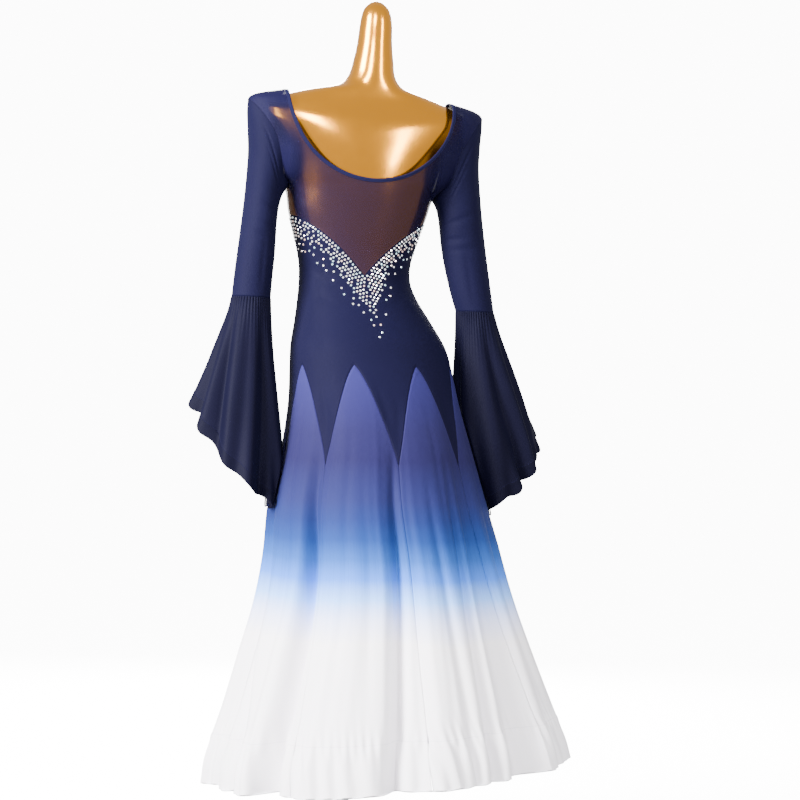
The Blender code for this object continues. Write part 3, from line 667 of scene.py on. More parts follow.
def creased(creases, angle, along, scale):
    """How far the listed creases bring the cloth in at this angle and height or row."""
    total = 0.0
    for angle_a, start, angle_b, end, half, depth in creases:
        across = turn_between(angle, radians(angle_a)) * scale[0]
        rise = (along - start) * scale[1]
        run = turn_between(radians(angle_b), radians(angle_a)) * scale[0]
        climb = (end - start) * scale[1]
        part = (across * run + rise * climb) / (run * run + climb * climb)
        part = min(1.0, max(0.0, part))
        away = (across - part * run) ** 2 + (rise - part * climb) ** 2
        if away < 9 * half * half:
            total += depth * (0.25 + 0.75 * sin(pi * part)) * exp(-away / (half * half))
    return total


def body_out(height, angle):
    """How far the fitted cloth's face stands off the garment's surface."""
    return CLOTH_OUT - creased(BODY_CREASES, angle, height, (BODY_RADIUS, 1.0))


def seam_dip(away):
    """How far the cloth is drawn in at this distance from a seam."""
    return SEAM_DEPTH * exp(-((away / SEAM_WIDTH) ** 2))


def eased(part):
    """Parts from 0 to 1 that are closer together at both ends."""
    return part - 0.85 * sin(2 * pi * part) / (2 * pi)


def normal_at(surface, u, v):
    """The normal of a surface, outwards where u runs up and v to the wearer's left."""
    along = surface(u + SLOPE_STEP, v) - surface(u - SLOPE_STEP, v)
    across = surface(u, v + SLOPE_STEP) - surface(u, v - SLOPE_STEP)
    return along.cross(across).normalized()


def feed(tree, slot, term):
    """Link a value to a socket, or set the socket's number or colour."""
    if isinstance(term, Value):
        tree.links.new(slot, term.socket)
    else:
        slot.default_value = term


class Value:
    """A node's output, so that sums written with it add Math nodes."""

    def __init__(self, tree, socket):
        self.tree = tree
        self.socket = socket

    def math(self, operation, first, second=0.0):
        node = self.tree.nodes.new("ShaderNodeMath")
        node.operation = operation
        feed(self.tree, node.inputs[0], first)
        feed(self.tree, node.inputs[1], second)
        return Value(self.tree, node.outputs[0])

    def __add__(self, other):
        return self.math("ADD", self, other)

    def __sub__(self, other):
        return self.math("SUBTRACT", self, other)

    def __mul__(self, other):
        return self.math("MULTIPLY", self, other)

    def wave(self):
        """From -1 to 1, once for every 1 of the value."""
        return self.math("SINE", self * (2 * pi))

    def apart(self, other):
        return self.math("ABSOLUTE", self - other)

    def under(self, other):
        return self.math("LESS_THAN", self, other)

    def over(self, other):
        return self.math("GREATER_THAN", self, other)

    def larger(self, other):
        return self.math("MAXIMUM", self, other)

    __radd__ = __add__
    __rmul__ = __mul__


class Finish:
    """A material with one main shader, and the nodes that feed it."""

    def __init__(self, name, **constants):
        self.material = bpy.data.materials.new(name)
        self.material.use_nodes = True
        self.tree = self.material.node_tree
        self.shader = self.tree.nodes["Principled BSDF"]
        self.set(**constants)

    def set(self, **terms):
        """Set or link the shader's sockets, whose names are written with underscores."""
        for name, term in terms.items():
            slot = self.shader.inputs[name.replace("_", " ")]
            if isinstance(term, tuple) and len(term) == 3 and slot.type == "RGBA":
                term = (*term, 1.0)
            feed(self.tree, slot, term)

    def node(self, kind, sockets, out=0):
        """Add a node: its type, the values or links of its sockets, and the output that is used."""
        node = self.tree.nodes.new("ShaderNode" + kind)
        for name, term in sockets.items():
            feed(self.tree, node.inputs[name], term)
        return Value(self.tree, node.outputs[out])

    def coordinates(self, kind):
        return self.node("TexCoord", {}, kind)

    def axis(self, vector, letter):
        return self.node("SeparateXYZ", {"Vector": vector}, letter)

    def noise(self, vector, scale, detail=2.0):
        return self.node("TexNoise", {"Vector": vector, "Scale": scale, "Detail": detail}, "Fac")

    def stretched(self, vector, scale):
        return self.node("Mapping", {"Vector": vector, "Scale": scale})

    def rising(self, value, start, end):
        """From 0 to 1 as the value goes from start to end."""
        return self.node("MapRange", {"Value": value, "From Min": start, "From Max": end})

    def ramp(self, value, stops):
        """A colour ramp, whose stops are each a place and a colour."""
        node = self.tree.nodes.new("ShaderNodeValToRGB")
        elements = node.color_ramp.elements
        while len(elements) < len(stops):
            elements.new(0.5)
        for element, (place, colour) in zip(elements, stops):
            element.position = place
            element.color = (*colour, 1.0)
        feed(self.tree, node.inputs["Fac"], value)
        return Value(self.tree, node.outputs["Color"])

    def mixed(self, share, first, second):
        """One colour into another."""
        node = self.tree.nodes.new("ShaderNodeMix")
        node.data_type = "RGBA"
        feed(self.tree, node.inputs[0], share)
        feed(self.tree, node.inputs[6], first if isinstance(first, Value) else (*first, 1.0))
        feed(self.tree, node.inputs[7], second if isinstance(second, Value) else (*second, 1.0))
        return Value(self.tree, node.outputs[2])

    def bump(self, height, distance, strength=1.0):
        self.set(Normal=self.node("Bump", {"Height": height, "Distance": distance, "Strength": strength}))


def shade(colour, factor):
    return tuple(part * factor for part in colour)


def matt(name, roughness, sheen, tint):
    """A cloth finish that hardly shines, with a soft sheen of its own tint."""
    return Finish(
        name, Roughness=roughness, Specular_IOR_Level=CLOTH_GLOSS, Sheen_Weight=sheen, Sheen_Roughness=0.45,
        Sheen_Tint=tint,
    )


def jersey(name, colour, sheen=0.012):
    """A fine stretch knit, a little uneven in shade, with faint ribs along its length."""
    cloth = matt(name, 0.62, sheen, (0.35, 0.4, 1.0))
    place = cloth.coordinates("UV")
    blotch = cloth.noise(cloth.coordinates("Object"), 9.0, 3.0)
    grain = cloth.noise(cloth.stretched(place, (1.0, 0.4, 1.0)), 1500.0, 2.0)
    cloth.set(Base_Color=cloth.mixed(blotch * 0.5 + grain * 0.5, shade(colour, 0.78), shade(colour, 1.22)))
    ribs = (cloth.axis(place, "X") * 900.0).wave() * 0.5
    cloth.bump(ribs + grain, 0.00012, 0.5)
    return cloth.material


def sheer_mesh(name, colour):
    """A fine net: mostly thread, with small holes that let the gold show through."""
    net = matt(name, 0.5, 0.010, (0.5, 0.45, 0.8))
    place = net.coordinates("UV")
    across = (net.axis(place, "X") * 720.0).wave()
    along = (net.axis(place, "Y") * 720.0).wave()
    body = net.coordinates("Object")
    blotch = net.noise(body, 14.0, 2.0)
    net.set(Base_Color=net.mixed(blotch, shade(colour, 0.8), shade(colour, 1.25)))
    out = net.axis(body, "X").apart(0.0)
    height = net.axis(body, "Z")
    doubled = 0.0
    for out_start, out_full, start, full in DOUBLED_MESH:
        patch = net.rising(out, out_start, out_full) * net.rising(height, start, full)
        doubled = patch.larger(doubled)
    net.set(Alpha=MESH_ALPHA + MESH_WEAVE * (across * along + blotch) + MESH_DOUBLED * doubled)
    net.bump(across * along, 0.0001, 0.4)
    return net.material


def chiffon(name, colour, stitched_at):
    """Soft chiffon, with a doubled hem held by a row of stitches. Its UV map runs up from the hem."""
    cloth = matt(name, 0.6, 0.010, (0.4, 0.45, 1.0))
    place = cloth.coordinates("UV")
    up = cloth.axis(place, "Y")
    grain = cloth.noise(cloth.stretched(place, (1.0, 3.0, 1.0)), 1100.0, 2.0)
    blotch = cloth.noise(cloth.coordinates("Object"), 11.0, 2.0)
    hem = up.under(stitched_at)
    line = up.apart(stitched_at).under(0.0008)
    dash = (cloth.axis(place, "X") * 300.0).wave().over(-0.3)
    base = cloth.mixed(blotch * 0.6 + grain * 0.4, shade(colour, 0.8), shade(colour, 1.25))
    base = cloth.mixed(hem * 0.35, base, shade(colour, 0.6))
    base = cloth.mixed(line * dash * 0.6, base, shade(colour, 2.2))
    cloth.set(Base_Color=base)
    cloth.bump(grain * 0.6 + hem * 0.8 - line * 1.2, 0.0004, 0.6)
    return cloth.material


def ombre_organza(name, band):
    """Satin-backed organza, dyed from blue down to white, with the stitched band along its hem."""
    low = OMBRE_STOPS[0][0]
    high = OMBRE_STOPS[-1][0]
    cloth = matt(name, 0.5, 0.015, (0.7, 0.75, 1.0))
    body = cloth.coordinates("Object")
    place = cloth.coordinates("UV")
    drift = cloth.noise(cloth.stretched(body, (1.0, 1.0, 0.25)), 7.0, 3.0)
    fine = cloth.noise(cloth.stretched(place, (1.0, 0.05, 1.0)), 160.0, 3.0)
    height = cloth.axis(body, "Z") + drift * 0.030 + fine * 0.012 - 0.021
    share = (height - low) * (1 / (high - low))
    stops = [((at - low) / (high - low), colour) for at, colour in OMBRE_STOPS]
    dye = cloth.ramp(share, stops)
    grain = cloth.noise(cloth.stretched(place, (1.0, 0.3, 1.0)), 1300.0, 2.0)
    dye = cloth.mixed(fine * 0.06 + grain * 0.03, dye, (0.006, 0.008, 0.03))
    up = cloth.axis(place, "Y")
    line = up.apart(band).under(0.0008)
    dash = (cloth.axis(place, "X") * 300.0).wave().over(-0.2)
    inside = up.under(band)
    dye = cloth.mixed(line * dash * 0.5, dye, (0.50, 0.48, 0.56))
    cloth.set(Base_Color=dye)
    weave = (cloth.axis(place, "X") * 1000.0).wave() * (up * 1000.0).wave()
    cloth.bump(weave * 0.3 + grain * 0.5 + inside * 1.2 - line * 1.6, 0.0004, 0.5)
    return cloth.material


def pearl_gold(name, colour):
    """Gold lacquer with a fine pearl grain under a clear glossy coat."""
    lacquer = Finish(name, Coat_Roughness=0.03, Coat_IOR=1.5)
    body = lacquer.coordinates("Object")
    cloud = lacquer.noise(body, 6.0, 2.0)
    pearl = lacquer.noise(body, 2600.0, 1.0)
    wear = lacquer.noise(body, 40.0, 3.0)
    lacquer.set(Base_Color=lacquer.mixed(cloud * 0.6 + pearl * 0.4, shade(colour, 0.86), shade(colour, 1.16)))
    lacquer.set(Metallic=0.97, Roughness=0.13 + 0.08 * wear + 0.04 * pearl, Coat_Weight=0.15)
    lacquer.bump(pearl * 0.4 + cloud, 0.0003, 0.12)
    return lacquer.material


def brushed_steel(name, colour, round_post):
    """Satin steel, brushed round the post or in rings on the base."""
    steel = Finish(name, Metallic=1.0)
    body = steel.coordinates("Object")
    stretch = (4.0, 4.0, 600.0) if round_post else (60.0, 60.0, 60.0)
    lines = steel.noise(steel.stretched(body, stretch), 3.0, 3.0)
    marks = steel.noise(body, 18.0, 4.0)
    steel.set(Base_Color=steel.mixed(marks, shade(colour, 0.8), shade(colour, 1.15)))
    steel.set(Roughness=0.26 + 0.14 * lines + 0.10 * marks)
    steel.bump(lines, 0.0001, 0.3)
    return steel.material


def crystal(name):
    """Foiled rhinestones whose tint changes from stone to stone, with a painted glow in that tint that stands
    in for their sparkle.
    """
    stone = Finish(name, Metallic=0.75, Roughness=0.09)
    tint = stone.axis(stone.coordinates("UV"), "X")
    stops = (
        (0.00, (0.95, 0.95, 1.00)),
        (0.40, (1.00, 0.96, 0.92)),
        (0.62, (1.00, 0.70, 0.62)),
        (0.78, (0.62, 0.90, 1.00)),
        (1.00, (1.00, 0.98, 0.90)),
    )
    colour = stone.ramp(tint, stops)
    # Painted glow: each stone gives off a little light of its own tint, though it is no lamp.
    stone.set(Base_Color=colour, Emission_Color=colour, Emission_Strength=0.45)
    stone.bump(stone.noise(stone.coordinates("Object"), 900.0, 1.0), 0.0002, 0.3)
    return stone.material


def pale_floor(name, colour):
    """A plain pale studio floor, barely uneven."""
    ground = Finish(name, Roughness=0.9, Emission_Color=(1.0, 1.0, 1.0), Emission_Strength=FLOOR_GLOW)
    drift = ground.noise(ground.coordinates("Object"), 0.8, 2.0)
    ground.set(Base_Color=ground.mixed(drift, shade(colour, 0.98), colour))
    return ground.material


def finish_mesh(bm, name, material, nodes=()):
    """Put a bmesh in the scene as a smooth piece of the dress, for the nodes that it stands for."""
    mesh = bpy.data.meshes.new(name)
    bm.to_mesh(mesh)
    bm.free()
    mesh.materials.append(material)
    mesh.shade_smooth()
    piece = bpy.data.objects.new(name, mesh)
    bpy.context.scene.collection.objects.link(piece)
    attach(piece, "root")
    if nodes:
        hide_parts(*nodes)
    return piece


def laid_grid(columns, rows, place, size, open_middle=False, level=None):
    """A welded grid laid on a surface, with a UV map in metres. place takes the parts across and up, 0 to 1.

    level gives the map's second coordinate, where it isn't the part of the size. With open_middle the middle
    column has no faces. Returns the bmesh and the parts of its vertices.
    """
    bm = bmesh.new()
    bmesh.ops.create_grid(bm, x_segments=columns, y_segments=rows, size=0.5)
    if open_middle:
        middle = [face for face in bm.faces if abs(face.calc_center_median().x) < 0.1 / columns]
        bmesh.ops.delete(bm, geom=middle, context="FACES_ONLY")
    layer = bm.loops.layers.uv.new("UVMap")
    parts = {vert: (vert.co.x + 0.5, vert.co.y + 0.5) for vert in bm.verts}
    for face in bm.faces:
        for loop in face.loops:
            across, up = parts[loop.vert]
            loop[layer].uv = (across * size[0], level(across, up) if level else up * size[1])
    for vert, (across, up) in parts.items():
        vert.co = place(min(1.0, max(0.0, across)), min(1.0, max(0.0, up)))
    bmesh.ops.remove_doubles(bm, verts=bm.verts, dist=WELD)
    parts = {vert: parts[vert] for vert in bm.verts}
    bm.normal_update()
    return bm, parts


def turn_outwards(bm, inside):
    """Turn the faces away from a point inside, where they point towards it."""
    total = sum(face.normal.dot(face.calc_center_median() - inside) * face.calc_area() for face in bm.faces)
    if total < 0:
        bmesh.ops.reverse_faces(bm, faces=bm.faces)
        bm.normal_update()


def longest(lines):
    """The length of the longest line of points."""
    return max(sum((b - a).length for a, b in zip(line, line[1:])) for line in lines)


def surface_size(place):
    """A panel's greatest width and length, measured on its surface."""
    points = [[place(i / 32, j / 32) for i in range(33)] for j in range(33)]
    return longest(points), longest(zip(*points))


def add_cloth(
    name, grid, place, out, inside, material, wall, node, open_middle=False, level=None
):
    """A sheet of cloth laid on its surface and moved outwards by out, standing for its CAD node."""
    bm, parts = laid_grid(*grid, place, surface_size(place), open_middle, level)
    turn_outwards(bm, inside)
    moves = [(vert, vert.normal * out(*parts[vert])) for vert in bm.verts]
    for vert, move in moves:
        vert.co += move
    piece = finish_mesh(bm, name, material, (node,))
    if wall:
        solid = piece.modifiers.new("wall", "SOLIDIFY")
        solid.thickness = wall
        solid.offset = -1
    return piece


def round_profile(radius, sides=8):
    return [(radius * cos(2 * pi * i / sides), radius * sin(2 * pi * i / sides)) for i in range(sides)]


def add_strip(name, points, normals, profile, material, nodes=()):
    """A closed strip along a ring of points, whose section is a profile of places across and out."""
    count = len(points)

    def place(across, up):
        i = round(across * count)
        along = (points[(i + 1) % count] - points[i - 1]).normalized()
        side = along.cross(normals[i % count]).normalized()
        side_out, out = profile[round(up * len(profile)) % len(profile)]
        return points[i % count] + side * side_out + side.cross(along).normalized() * out

    size = (longest([points]), 0.01)
    bm, _ = laid_grid(count, len(profile), place, size)
    bmesh.ops.recalc_face_normals(bm, faces=bm.faces)
    return finish_mesh(bm, name, material, nodes)


def size_property(name, description, default, least, most):
    """A length that a user can change."""
    return FloatProperty(
        name=name, description=description, default=default, min=least, max=most, unit="LENGTH"
    )


def colour_property(name, description, default):
    """A colour that a user can change."""
    return FloatVectorProperty(
        name=name, description=description, subtype="COLOR", default=default, min=0, max=1
    )


class DressSizes(bpy.types.PropertyGroup):
    """Sizes of the dress that a user would change."""

    wall: size_property("Cloth", "Thickness of the cloth", 0.0009, 0.0003, 0.003)
    stone: size_property("Stone", "Diameter of a rhinestone", 0.0047, 0.002, 0.008)
    pitch: size_property("Stone pitch", "Distance between stones in the dense band", 0.0077, 0.005, 0.02)
    band: size_property("Hem band", "Height of the stitched band along the hem", 0.086, 0.02, 0.15)
    roll: size_property("Rolled edge", "Radius of the rolled edges", 0.0014, 0.0005, 0.004)
    strays: IntProperty(
        name="Loose stones", description="Tries at a stone scattered below the dense band", default=190,
        min=0, max=400,
    )


class DressColours(bpy.types.PropertyGroup):
    """Colours of the dress, the form and the stand."""

    navy: colour_property("Jersey", "Colour of the body and sleeves", (0.0034, 0.0031, 0.0140))
    sheer: colour_property("Sheer mesh", "Colour of the yokes", (0.0042, 0.0036, 0.0180))
    bells: colour_property("Chiffon", "Colour of the flounces", (0.0024, 0.0022, 0.0085))
    gold: colour_property("Form", "Colour of the dress form", (0.62, 0.245, 0.011))
    steel: colour_property("Stand", "Colour of the post and base", (0.40, 0.35, 0.31))
    ground: colour_property("Floor", "Colour of the floor", (0.92, 0.92, 0.92))


def chosen(name):
    """The colour that is set for a part of the dress."""
    return tuple(getattr(bpy.context.scene.dress_colours, name))


def sizes():
    return bpy.context.scene.dress_sizes


class DRESS_OT_form(bpy.types.Operator):
    """Make the smooth gold dress form"""

    bl_idname = "dress.form"
    bl_label = "Dress form"

    def execute(self, context):
        last = len(FORM_ROWS) - 1

        def place(across, up):
            return ring_point(smooth(FORM_ROWS, up * last), 2 * pi * across)

        bm, _ = laid_grid(FORM_COLUMNS, last * 6, place, (1.0, 1.0))
        bmesh.ops.holes_fill(bm, edges=bm.edges, sides=0)
        bmesh.ops.recalc_face_normals(bm, faces=bm.faces)
        finish_mesh(bm, "gold_form", pearl_gold("pearl_gold", chosen("gold")), ("dress_form",))
        return {"FINISHED"}


class DRESS_OT_stand(bpy.types.Operator):
    """Make the round base with its socket, and the post"""

    bl_idname = "dress.stand"
    bl_label = "Stand"

    def execute(self, context):
        base_low, base_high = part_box("stand_base")
        post_low, post_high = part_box("stand_post")
        radius = (base_high[0] - base_low[0]) / 2
        post = (post_high[0] - post_low[0]) / 2
        top = base_high[2]
        # Profiles, from the axis out and down: radius and height
        base = (
            (0, top), (post + 0.0055, top), (post + 0.0085, top - 0.0012), (post + 0.0105, top - 0.0050),
            (post + 0.0150, top - 0.0085), (0.044, 0.0165), (0.050, 0.0143), (radius - 0.006, 0.0138),
            (radius - 0.0015, 0.0120), (radius, 0.0088), (radius, 0.0015), (radius - 0.001, 0), (0, 0),
        )
        pole = (
            (0, post_high[2]), (post - 0.001, post_high[2]), (post, post_high[2] - 0.001),
            (post, post_low[2]), (0, post_low[2]),
        )
        for name, profile, brushed, node in (
            ("round_base", base, False, "stand_base"),
            ("post", pole, True, "stand_post"),
        ):
            bm = bmesh.new()
            line = [bm.verts.new((r, 0, z)) for r, z in profile]
            edges = [bm.edges.new(pair) for pair in zip(line, line[1:])]
            bmesh.ops.spin(
                bm, geom=line + edges, cent=(0, 0, 0), axis=(0, 0, 1), angle=2 * pi, steps=72, use_merge=True
            )
            bmesh.ops.remove_doubles(bm, verts=bm.verts, dist=WELD)
            bmesh.ops.recalc_face_normals(bm, faces=bm.faces)
            finish = brushed_steel(name + "_steel", chosen("steel"), brushed)
            piece = finish_mesh(bm, name, finish, (node,))
            piece.data.set_sharp_from_angle(angle=radians(40))
        return {"FINISHED"}


class DRESS_OT_yokes(bpy.types.Operator):
    """Make the sheer back and front yokes"""

    bl_idname = "dress.yokes"
    bl_label = "Sheer yokes"

    def execute(self, context):
        net = sheer_mesh("sheer_mesh", chosen("sheer"))
        self.add("mesh_yoke_back", "back_yoke", 0.0, NECK_DEPTH_BACK, net)
        self.add("mesh_yoke_front", "front_yoke", pi, NECK_DEPTH_FRONT, net)
        return {"FINISHED"}

    def add(self, name, node, middle, depth, net):
        columns = YOKE_GRID[0]
        first = len(GARMENT_ROWS) - len(SHOULDER_ROWS)

        def at(across, up):
            """The height and angle of a place on the yoke."""
            turn = across * 2 - 1
            away = max(0.0, (abs(turn) - 1 / columns) / (1 - 1 / columns))
            side = 1 if turn > 0 else -1
            if up < YOKE_SPLIT:
                angle = side * away * pi / 2
                edge = yoke_edge(middle + angle)
                return edge + (UNDERARM - edge) * up / YOKE_SPLIT, middle + angle
            share = (up - YOKE_SPLIT) / (1 - YOKE_SPLIT)
            height = smooth(GARMENT_ROWS, first + (len(SHOULDER_ROWS) - 1) * share)[0]
            end = armhole_in(height)
            begin = min(neckline_in(height, depth), end - 0.003)
            return height, middle + side * (begin + (end - begin) * away)

        def place(across, up):
            return garment_surface(*at(across, up))

        def out(across, up):
            height, angle = at(across, up)
            return body_out(height, angle)

        inside = Vector((0, 0.02, 1.33))
        add_cloth(
            name, YOKE_GRID, place, out, inside, net, 0, node,
            open_middle=True,
        )


class DRESS_OT_bodice(bpy.types.Operator):
    """Make the opaque body, back and front, with its petal points"""

    bl_idname = "dress.bodice"
    bl_label = "Bodice"

    def execute(self, context):
        knit = jersey("navy_jersey", chosen("navy"))
        self.add("jersey_back", "bodice_back", -pi / 2, knit)
        self.add("jersey_front", "bodice_front", pi / 2, knit)
        return {"FINISHED"}

    def add(self, name, node, start, knit):
        def at(across, up):
            angle = start + pi * across
            low = petal_edge(angle)
            return low + (yoke_edge(angle) - low) * eased(up), angle

        def place(across, up):
            return garment_surface(*at(across, up))

        def out(across, up):
            height, angle = at(across, up)
            low = petal_edge(angle)
            dip = seam_dip((height - low) * PETAL_SLANT) + seam_dip((yoke_edge(angle) - height) * EDGE_SLANT)
            return body_out(height, angle) - dip

        inside = Vector((0, 0.02, 1.0))
        wall = sizes().wall
        add_cloth(
            name, BODICE_GRID, place, out, inside, knit, wall, node
        )


class DRESS_OT_binding(bpy.types.Operator):
    """Make the folded binding round the neck"""

    bl_idname = "dress.binding"
    bl_label = "Neck binding"

    def execute(self, context):
        steps = 60
        half = []
        for depth, middle, turns in (
            (NECK_DEPTH_BACK, 0, range(steps)),
            (NECK_DEPTH_FRONT, pi, range(steps, 0, -1)),
        ):
            for k in turns:
                height = NECK_TOP - depth * cos(pi / 2 * k / steps)
                angle = neckline_in(height, depth) if k else 0.0
                half.append((height, abs(middle - angle)))
        half.append((NECK_TOP - NECK_DEPTH_FRONT, pi))
        places = half + [(height, -angle) for height, angle in reversed(half[1:-1])]
        points = []
        normals = []
        surface = partial(garment_surface, fine=False)
        for height, angle in places:
            normal = normal_at(surface, min(height, NECK_TOP - 2 * SLOPE_STEP), angle)
            points.append(surface(height, angle) + normal * BINDING_OUT)
            normals.append(normal)
        half_width = BINDING_WIDTH / 2
        profile = [(a * half_width - half_width, b * BINDING_HALF) for a, b in BINDING_PROFILE]
        cloth = jersey("binding_jersey", shade(chosen("navy"), 1.5), 0.03)
        add_strip("folded_binding", points, normals, profile, cloth, ("neck_binding",))
        return {"FINISHED"}


class DRESS_OT_godets(bpy.types.Operator):
    """Make the eight flared ombre godets and the rolled edge of their hem"""

    bl_idname = "dress.godets"
    bl_label = "Godets"

    def execute(self, context):
        for number in range(1, GODETS + 1):
            self.add(number)
        count = 480
        points = []
        normals = []
        for k in range(count):
            angle = 2 * pi * k / count
            point = garment_surface(HEM, angle)
            centre = Vector((SKIRT_ROWS[0][1], SKIRT_ROWS[0][2], point.z))
            points.append(point)
            normals.append((point - centre).normalized())
        rolled = jersey("rolled_white", (0.80, 0.80, 0.84), 0.2)
        add_strip("rolled_hem", points, normals, round_profile(sizes().roll), rolled)
        return {"FINISHED"}

    def add(self, number):
        middle = (number - 0.5) * SECTOR
        behind = cos(middle) > 0
        band = sizes().band
        cloth = ombre_organza(f"ombre_{number}", band)
        phase = number * 1.7

        def at(across, up):
            angle = middle + SECTOR * (across - 0.5)
            return HEM + (petal_edge(angle) - HEM) * eased(up), angle

        def place(across, up):
            return garment_surface(*at(across, up))

        def out(across, up):
            height, angle = at(across, up)
            row = smooth(GARMENT_ROWS, garment_at(height))
            width = SECTOR * (row[3] + row[4]) / 2
            side = min(across, 1 - across) * width
            above = height - HEM - band
            run = across * width
            pucker = PUCKER * sin(2 * pi * run / PUCKER_LENGTH + 2 * sin(run * 31 + phase))
            pucker *= exp(-abs(above) / PUCKER_REACH)
            ripple = 0.0
            if above < 0:
                ripple = RIPPLE * sin(2 * pi * run / RIPPLE_LENGTH + 2.2 * sin(run * 23 + phase))
                ripple = ripple * min(1.0, -above / RIPPLE_REACH) + BAND_STEP
            top = seam_dip((petal_edge(angle) - height) * PETAL_SLANT)
            return CLOTH_OUT + pucker + ripple - top - seam_dip(side)

        def above_hem(across, up):
            return at(across, up)[0] - HEM

        name = f"organza_godet_{number}"
        node = f"godet_{number}"
        grid = GODET_GRID_BACK if behind else GODET_GRID_FRONT
        inside = Vector((-0.04, 0.08, 0.5))
        add_cloth(
            name, grid, place, out, inside, cloth, sizes().wall, node,
            level=above_hem,
        )


class DRESS_OT_sleeves(bpy.types.Operator):
    """Make the two long jersey sleeves, with the seams at the armholes"""

    bl_idname = "dress.sleeves"
    bl_label = "Sleeves"

    def execute(self, context):
        knit = jersey("sleeve_jersey", chosen("navy"))
        seam = jersey("seam_jersey", shade(chosen("navy"), 0.8))
        last = len(SLEEVE_ROWS) - 1
        for arm in ARMS:
            name, side, *_ = arm
            surface = partial(sleeve_surface, arm)

            def at(across, up):
                return SLEEVE_START * (1 - up) + last * up, side * 2 * pi * across

            def place(across, up):
                return surface(*at(across, up))

            def out(across, up):
                row, angle = at(across, up)
                return CLOTH_OUT - creased(SLEEVE_CREASES, angle, row, (0.044, 0.047))

            inside = (surface(4, 0) + surface(4, pi)) / 2
            add_cloth(
                f"jersey_sleeve_{name}", (96, 110), place, out, inside, knit, sizes().wall,
                f"sleeve_{name}",
            )
            edge = [armhole_edge(side, 2 * pi * k / 90) for k in range(90)]
            middle = sum(edge, Vector()) / len(edge)
            normals = [(point - middle).normalized() for point in edge]
            add_strip(f"armhole_seam_{name}", edge, normals, round_profile(SEAM_ROLL), seam)
        return {"FINISHED"}


class DRESS_OT_flounces(bpy.types.Operator):
    """Make the two chiffon bell flounces, gathered to the sleeves, with their stiff stitched hems"""

    bl_idname = "dress.flounces"
    bl_label = "Bell flounces"

    def execute(self, context):
        colour = chosen("bells")
        edging = jersey("bell_edging", shade(colour, 1.3))
        last = len(FLOUNCE_ROWS) - 1
        for arm in ARMS:
            name, side, *_ = arm
            surface = partial(flounce_surface, arm)

            def place(across, up):
                return surface(last * up, side * 2 * pi * across)

            def above_hem(across, up):
                part = smooth(FLOUNCE_ROWS, last * up)[0]
                return (1 - part) * flounce_drop(arm, side * 2 * pi * across)

            def out(across, up):
                return CLOTH_OUT + (0.0006 if above_hem(across, up) < FLOUNCE_HEM else 0.0)

            inside = (surface(2, 0) + surface(2, pi)) / 2
            cloth = chiffon(f"chiffon_{name}", colour, FLOUNCE_HEM)
            add_cloth(
                f"chiffon_bell_{name}", (320, 90), place, out, inside, cloth, 0,
                f"flounce_{name}", level=above_hem,
            )
            for label, row, near, count, radius in (
                ("bell_hem", last, last - 0.05, 320, sizes().roll),
                ("bell_seam", 0, 0.05, 120, SEAM_ROLL),
            ):
                turns = [2 * pi * k / count for k in range(count)]
                edge = [surface(row, turn) for turn in turns]
                inwards = [(surface(near, turn) - point).normalized() for turn, point in zip(turns, edge)]
                add_strip(f"{label}_{name}", edge, inwards, round_profile(radius), edging)
        return {"FINISHED"}


